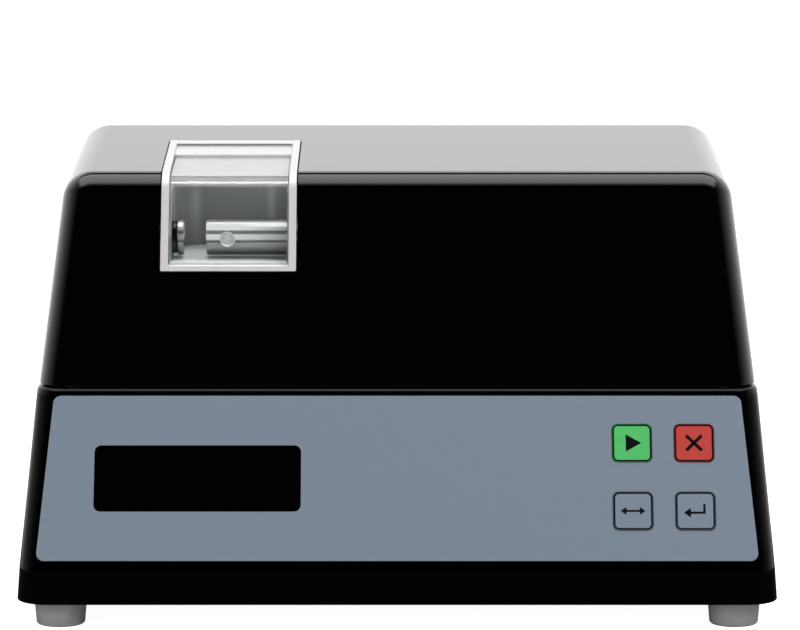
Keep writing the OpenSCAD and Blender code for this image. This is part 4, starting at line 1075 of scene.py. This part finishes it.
def build_chamber():
    # Floor, with its front edge on the hood's face
    front = [(hood_front(z, PROUD), z) for z in (CH_Z, FLOOR_Z)]
    floor = [front[0], (CH_BACK, CH_Z), (CH_BACK, FLOOR_Z), front[1]]
    tray = plate("chamber_floor_plate", "chamber_floor", floor, IN_L, IN_R, TRAY, "frame_steel", 0.2)
    face_material(tray, FRAME_STEEL, 1, 0.5)
    bar = [(STRIP_B, FLOOR_Z), (BAR_B, FLOOR_Z)] + [(y, hood_top(y, PROUD)) for y in (BAR_B, STRIP_B)]
    bar = plate("rear_bar_plate", "rear_bar", bar, IN_L, IN_R, FRAME_STEEL, "frame_steel", 0.1)
    face_material(bar, POLISHED, 1, 0.9)
    # Strip with the flange at its back
    tf, tb = hood_top(STRIP_F, 0.4), hood_top(STRIP_B, 0.4)
    flange = [(STRIP_B - 2, tb - 14), (STRIP_B, tb - 14), (STRIP_B, tb)]
    strip = [(STRIP_F, tf), (STRIP_F, tf - 1.6), (STRIP_B - 2, hood_top(STRIP_B - 2, 2.0))] + flange
    plate("hinge_strip_angle", "hinge_strip", strip, IN_L, IN_R, FRAME_STEEL, "frame_steel", 0.1)


build_chamber()


def build_liner():
    t, r, back = 1.0, 18.0, 19.0
    x0, x1 = IN_L, IN_R
    top_z = AXIS_Z - KNUCKLE_R - 0.8
    path = []
    for cx, a0 in ((x0 + t + r, 180), (x1 - t - r, 90)):
        for k in range(21):
            a = a0 - 90 * k / 20
            path.append((cx + r * cos(a), back - t - r + r * sin(a), cos(a), sin(a)))
    inner = [(x, y) for x, y, _, _ in path]
    outer = [(x + nx * t, y + ny * t) for x, y, nx, ny in path]
    # The straight sides run forward as plates and follow the lid's underside
    side = []
    for y, z in profile(5.4, FLOOR_Z, back - t - r, 4.0):
        p = (y, min(z, top_z))
        if not side or (Vector(p) - Vector(side[-1])).length > 1e-4:
            side.append(p)
    for name, a, b, hole in (("left", x0, x0 + t, JAW_R), ("right", x1 - t, x1, 8.7)):
        shape = Shape()
        prism(shape, side, a, b, along_x, 0.15, 0, [ring(LOAD_Y, LOAD_Z, hole)])
        make("liner_%s_side" % name, shape, [LINER], "housing", "liner_steel", 25)
    shape = Shape()
    prism(shape, inner + outer[::-1], FLOOR_Z, top_z, lambda x, y, h: (x, y, h), 0.1)
    obj = make("chamber_liner_sheet", shape, [LINER], "housing", "liner_steel", 30)
    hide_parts("chamber_liner")


build_liner()


def build_lid():
    outer = profile(1.6, FLOOR_Z + 0.3, LID_END, 6.2, 20)[:-1]
    inner = profile(4.8, FLOOR_Z + 0.3, LID_END, 3.0, 20)[:-1]
    x0, x1 = IN_L + 0.4, IN_R - 0.4
    plate("lid_sheet", "lid", outer + inner[::-1], x0, x1, CLEAR, "lid_clear", 0.15, body="lid", angle=20)


build_lid()


def drill(obj, shape):
    """Cuts the closed shape out of the object's own mesh."""
    # The cut faces take the jaw steel, with its painted reflections and painted shade
    tool = make("cutter", shape, [JAW], None)
    mod = obj.modifiers.new("hole", "BOOLEAN")
    mod.object = tool
    mod.operation = "DIFFERENCE"
    mod.solver = "EXACT"
    bpy.context.view_layer.objects.active = obj
    dg = bpy.context.evaluated_depsgraph_get()
    mesh = bpy.data.meshes.new_from_object(obj.evaluated_get(dg))
    obj.modifiers.clear()
    obj.data = mesh
    bpy.data.objects.remove(tool)
    mesh.set_sharp_from_angle(angle=RAD(30))


def turned(name, profile, place, mat, body, slot, steps=128, angle=30, closed=False):
    shape = Shape()
    lathe(shape, profile, place, steps, closed=closed)
    return make(name, shape, [mat], body, slot, angle)


def on_load_axis(x0):
    """Turned parts on the load axis, measured along the width from x0."""
    return lambda x, y, h: (x0 + h, LOAD_Y + y, LOAD_Z + x)


def on_cross_hole(y0):
    """Turned parts in the jaw's cross hole, measured towards the front from y0."""
    return lambda x, y, h: (GRUB_X + x, LOAD_Y - y0 - h, LOAD_Z + y)


def build_jaw():
    c = 0.3
    sleeve = [
        (0, 0), (JAW_R - c, 0), (JAW_R, c), (JAW_R, JAW_L - c), (JAW_R - c, JAW_L),
        (5, JAW_L), (5, 4.5), (0, 4.5),
    ]
    obj = turned("jaw_sleeve_turned", sleeve, on_load_axis(JAW_X), JAW, "jaw_carriage", "bright_steel")
    cutter = Shape()
    hole = [(0, 0), (2.5, 0), (2.5, 7.1), (3.5, 8.1), (3.5, 20), (0, 20)]
    lathe(cutter, hole, on_cross_hole(0), 64)
    drill(obj, cutter)
    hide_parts("jaw_sleeve")
    grub = [(0, 0), (2.45, 0), (2.45, 2.4), (2.25, 2.6), (1.9, 2.6), (1.4, 1.7), (0, 1.1)]
    obj = turned("grub_screw", grub, on_cross_hole(4.2), SATIN, "jaw_carriage", "grub_steel", 64, 25)
    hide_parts("jaw_grub_screw")
    seat = [(2.52, 6.0), (2.52, 7.12), (3.42, 8.02), (3.3, 8.0), (2.46, 7.14), (2.46, 6.0)]
    turned("grub_seat", seat, on_cross_hole(0), SATIN, "jaw_carriage", "bright_steel", 96, closed=True)
    disc = [(0, 0), (7.7, 0), (8, 0.3), (8, 2.5), (7.7, 2.8), (0, 2.8)]
    # The platen disc takes the jaw steel, so it carries the same painted reflections and painted shade
    obj = turned("fixed_platen_disc", disc, on_load_axis(-97.9), JAW, "housing", "bright_steel")
    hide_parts("fixed_platen")
    # Black ring behind the platen, on its stem
    washer = [
        (0, -104.6), (4, -104.6), (4, -101.2), (6.9, -101.2),
        (7.2, -100.9), (7.2, -98.3), (6.9, -98.0), (0, -98.0),
    ]
    turned("platen_ring", washer, on_load_axis(0), RING, "housing", "part_black", 96)


build_jaw()

cad({
    "bottom_plate": ALLOY, "foot_screws": SCREW, "deck_plate": ALLOY, "deck_screws": SCREW,
    "hood_screws": SCREW, "display_window": WINDOW, "display_module": BOARD,
    "keypad_board": BOARD, "key_switches": PART_BLACK, "board_posts": ALLOY,
    "chamber_posts": ALLOY, "hinge_pin": BRIGHT, "lid_hinge_rail": ALLOY, "platen_stem": BRIGHT,
    "load_cell": ALLOY, "left_end_plate": ALLOY, "right_end_plate": ALLOY, "plate_screws": SCREW,
    "guide_rods": BRIGHT, "screw_bearing": SCREW, "jaw_shaft": BRIGHT, "crosshead": ALLOY,
    "guide_bushes": BRONZE, "drive_nut": BRONZE, "lead_screw": BRIGHT, "shaft_coupling": ALLOY,
    "motor_shaft": BRIGHT, "motor_body": MOTOR, "motor_plate": ALLOY, "motor_standoffs": SCREW,
    "main_board": BOARD, "power_supply": ALLOY, "board_spacers": SCREW, "rear_panel": PART_BLACK,
    "rear_screws": SCREW, "power_inlet": PART_BLACK, "inlet_pins": SCREW,
    "rocker_frame": PART_BLACK, "power_rocker": PART_BLACK, "data_port": SCREW,
})


# ---------------------------------------------------------------- stage, light and camera
def smooth(t, value, a, b, low=0.0, high=1.0):
    r = t.nodes.new("ShaderNodeMapRange")
    r.interpolation_type = "SMOOTHSTEP"
    for k, v in (("From Min", a), ("From Max", b), ("To Min", low), ("To Max", high)):
        r.inputs[k].default_value = v
    t.links.new(value, r.inputs["Value"])
    return r.outputs["Result"]


# Light that the floor adds for the camera, that the world gives to matt surfaces
FLOOR_GLOW, WORLD_LEVEL = 0.95, 0.55


def build_floor():
    shape = Shape()
    n, size = 12, 30000.0
    at = [-size / 2 + size * i / n for i in range(n + 1)]
    ids = [[shape.add((x, y, 0)) for x in at] for y in at]
    for j in range(n):
        for i in range(n):
            shape.face([ids[j][i], ids[j][i + 1], ids[j + 1][i + 1], ids[j + 1][i]])
    m = bpy.data.materials.new("studio_floor")
    m.use_nodes = True
    t = m.node_tree
    t.nodes.clear()
    out = t.nodes.new("ShaderNodeOutputMaterial")
    lp = t.nodes.new("ShaderNodeLightPath")
    glow = t.nodes.new("ShaderNodeEmission")
    t.links.new(times(t, lp.outputs["Is Camera Ray"], FLOOR_GLOW), glow.inputs["Strength"])
    add = t.nodes.new("ShaderNodeAddShader")
    t.links.new(diffuse(t, (0.8, 0.8, 0.8)), add.inputs[0])
    t.links.new(glow.outputs[0], add.inputs[1])
    # In reflections the floor is white behind and beside the object and dim in front of it
    mirror = t.nodes.new("ShaderNodeEmission")
    xyz = xyz_of(t)
    aside = smooth(t, math_node(t, "ABSOLUTE", xyz["X"]), 0.3, 0.6)
    beside = times(t, aside, smooth(t, xyz["Y"], -0.5, 0.0))
    behind = smooth(t, xyz["Y"], 0.1, 0.35)
    level = math_node(t, "MAXIMUM", math_node(t, "MAXIMUM", behind, beside), 0.055)
    t.links.new(level, mirror.inputs["Strength"])
    seen = math_node(t, "MAXIMUM", lp.outputs["Is Glossy Ray"], lp.outputs["Is Transmission Ray"])
    t.links.new(mixed(t, seen, add.outputs[0], mirror.outputs[0]), out.inputs["Surface"])
    make("floor", shape, [m], None)


def build_world():
    w = bpy.data.worlds.new("studio")
    bpy.context.scene.world = w
    w.use_nodes = True
    t = w.node_tree
    t.nodes.clear()
    out = t.nodes.new("ShaderNodeOutputWorld")
    lp = t.nodes.new("ShaderNodeLightPath")
    xyz = xyz_of(t, "Generated")

    def degrees(a):
        return times(t, a, 180 / math.pi)

    elev = degrees(math_node(t, "ARCSINE", xyz["Z"]))
    width = math_node(t, "ABSOLUTE", xyz["X"])
    forward = times(t, xyz["Y"], -1.0)
    az = degrees(math_node(t, "ARCTAN2", width, forward))
    # White wall behind and beside, up to a limit, then a dark gap, then the overhead light
    behind = smooth(t, az, 66.0, 150.0)
    wall = times(t, behind, smooth(t, elev, 38.0, 47.0, 1.19, 0.0))
    # Tilt from straight back over the top: y over z
    lift = degrees(math_node(t, "ARCTAN2", xyz["Z"], xyz["Y"]))
    rise, fall = smooth(t, lift, 52.0, 60.0), smooth(t, lift, 94.0, 114.0, 1.85, 0.0)
    band = times(t, rise, fall)
    # The overhead light ends at the sides
    out_x = degrees(math_node(t, "ARCTAN2", width, xyz["Z"]))
    over = times(t, band, smooth(t, out_x, 30.0, 50.0, 1.0, 0.0))
    glossy = math_node(t, "MAXIMUM", wall, over)
    mirror = math_node(t, "MAXIMUM", lp.outputs["Is Glossy Ray"], lp.outputs["Is Transmission Ray"])
    dull = t.nodes.new("ShaderNodeMix")
    dull.data_type = "FLOAT"
    t.links.new(mirror, dull.inputs[0])
    dull.inputs[2].default_value = WORLD_LEVEL
    t.links.new(glossy, dull.inputs[3])
    pick = t.nodes.new("ShaderNodeMix")
    pick.data_type = "FLOAT"
    t.links.new(lp.outputs["Is Camera Ray"], pick.inputs[0])
    t.links.new(dull.outputs[0], pick.inputs[2])
    pick.inputs[3].default_value = 1.0
    bg = t.nodes.new("ShaderNodeBackground")
    t.links.new(pick.outputs[0], bg.inputs["Strength"])
    t.links.new(bg.outputs[0], out.inputs["Surface"])


def area_light(name, place, size, watts):
    """Rectangular lamp that looks at the object and shows in no reflection."""
    data = bpy.data.lights.new(name, "AREA")
    data.shape = "RECTANGLE"
    data.size, data.size_y = size
    data.energy = watts
    o = bpy.data.objects.new(name, data)
    bpy.context.scene.collection.objects.link(o)
    o.location = place
    o.rotation_euler = (Vector((0, 0, 0.1)) - Vector(place)).to_track_quat("-Z", "Y").to_euler()
    o.visible_glossy = False


build_floor()
build_world()
area_light("key", (1.1, -1.3, 1.5), (1.4, 1.0), 15)
area_light("fill", (-1.0, -1.7, 0.8), (1.2, 1.0), 8)
area_light("top", (0, 0.2, 1.9), (1.8, 1.2), 18)

CAMERA_AT = (0.0012, -2.0202, 0.4223)
CAMERA_PITCH = 8.5

scene = bpy.context.scene
scene.view_settings.view_transform = "Standard"
camera = bpy.data.cameras.new("camera")
camera.sensor_fit = "HORIZONTAL"
camera.sensor_width = 36.0
camera.lens = 202.5
camera.clip_end = 100.0
eye = bpy.data.objects.new("camera", camera)
scene.collection.objects.link(eye)
eye.location = CAMERA_AT
eye.rotation_euler = (RAD(90 - CAMERA_PITCH), 0, 0)
scene.camera = eye
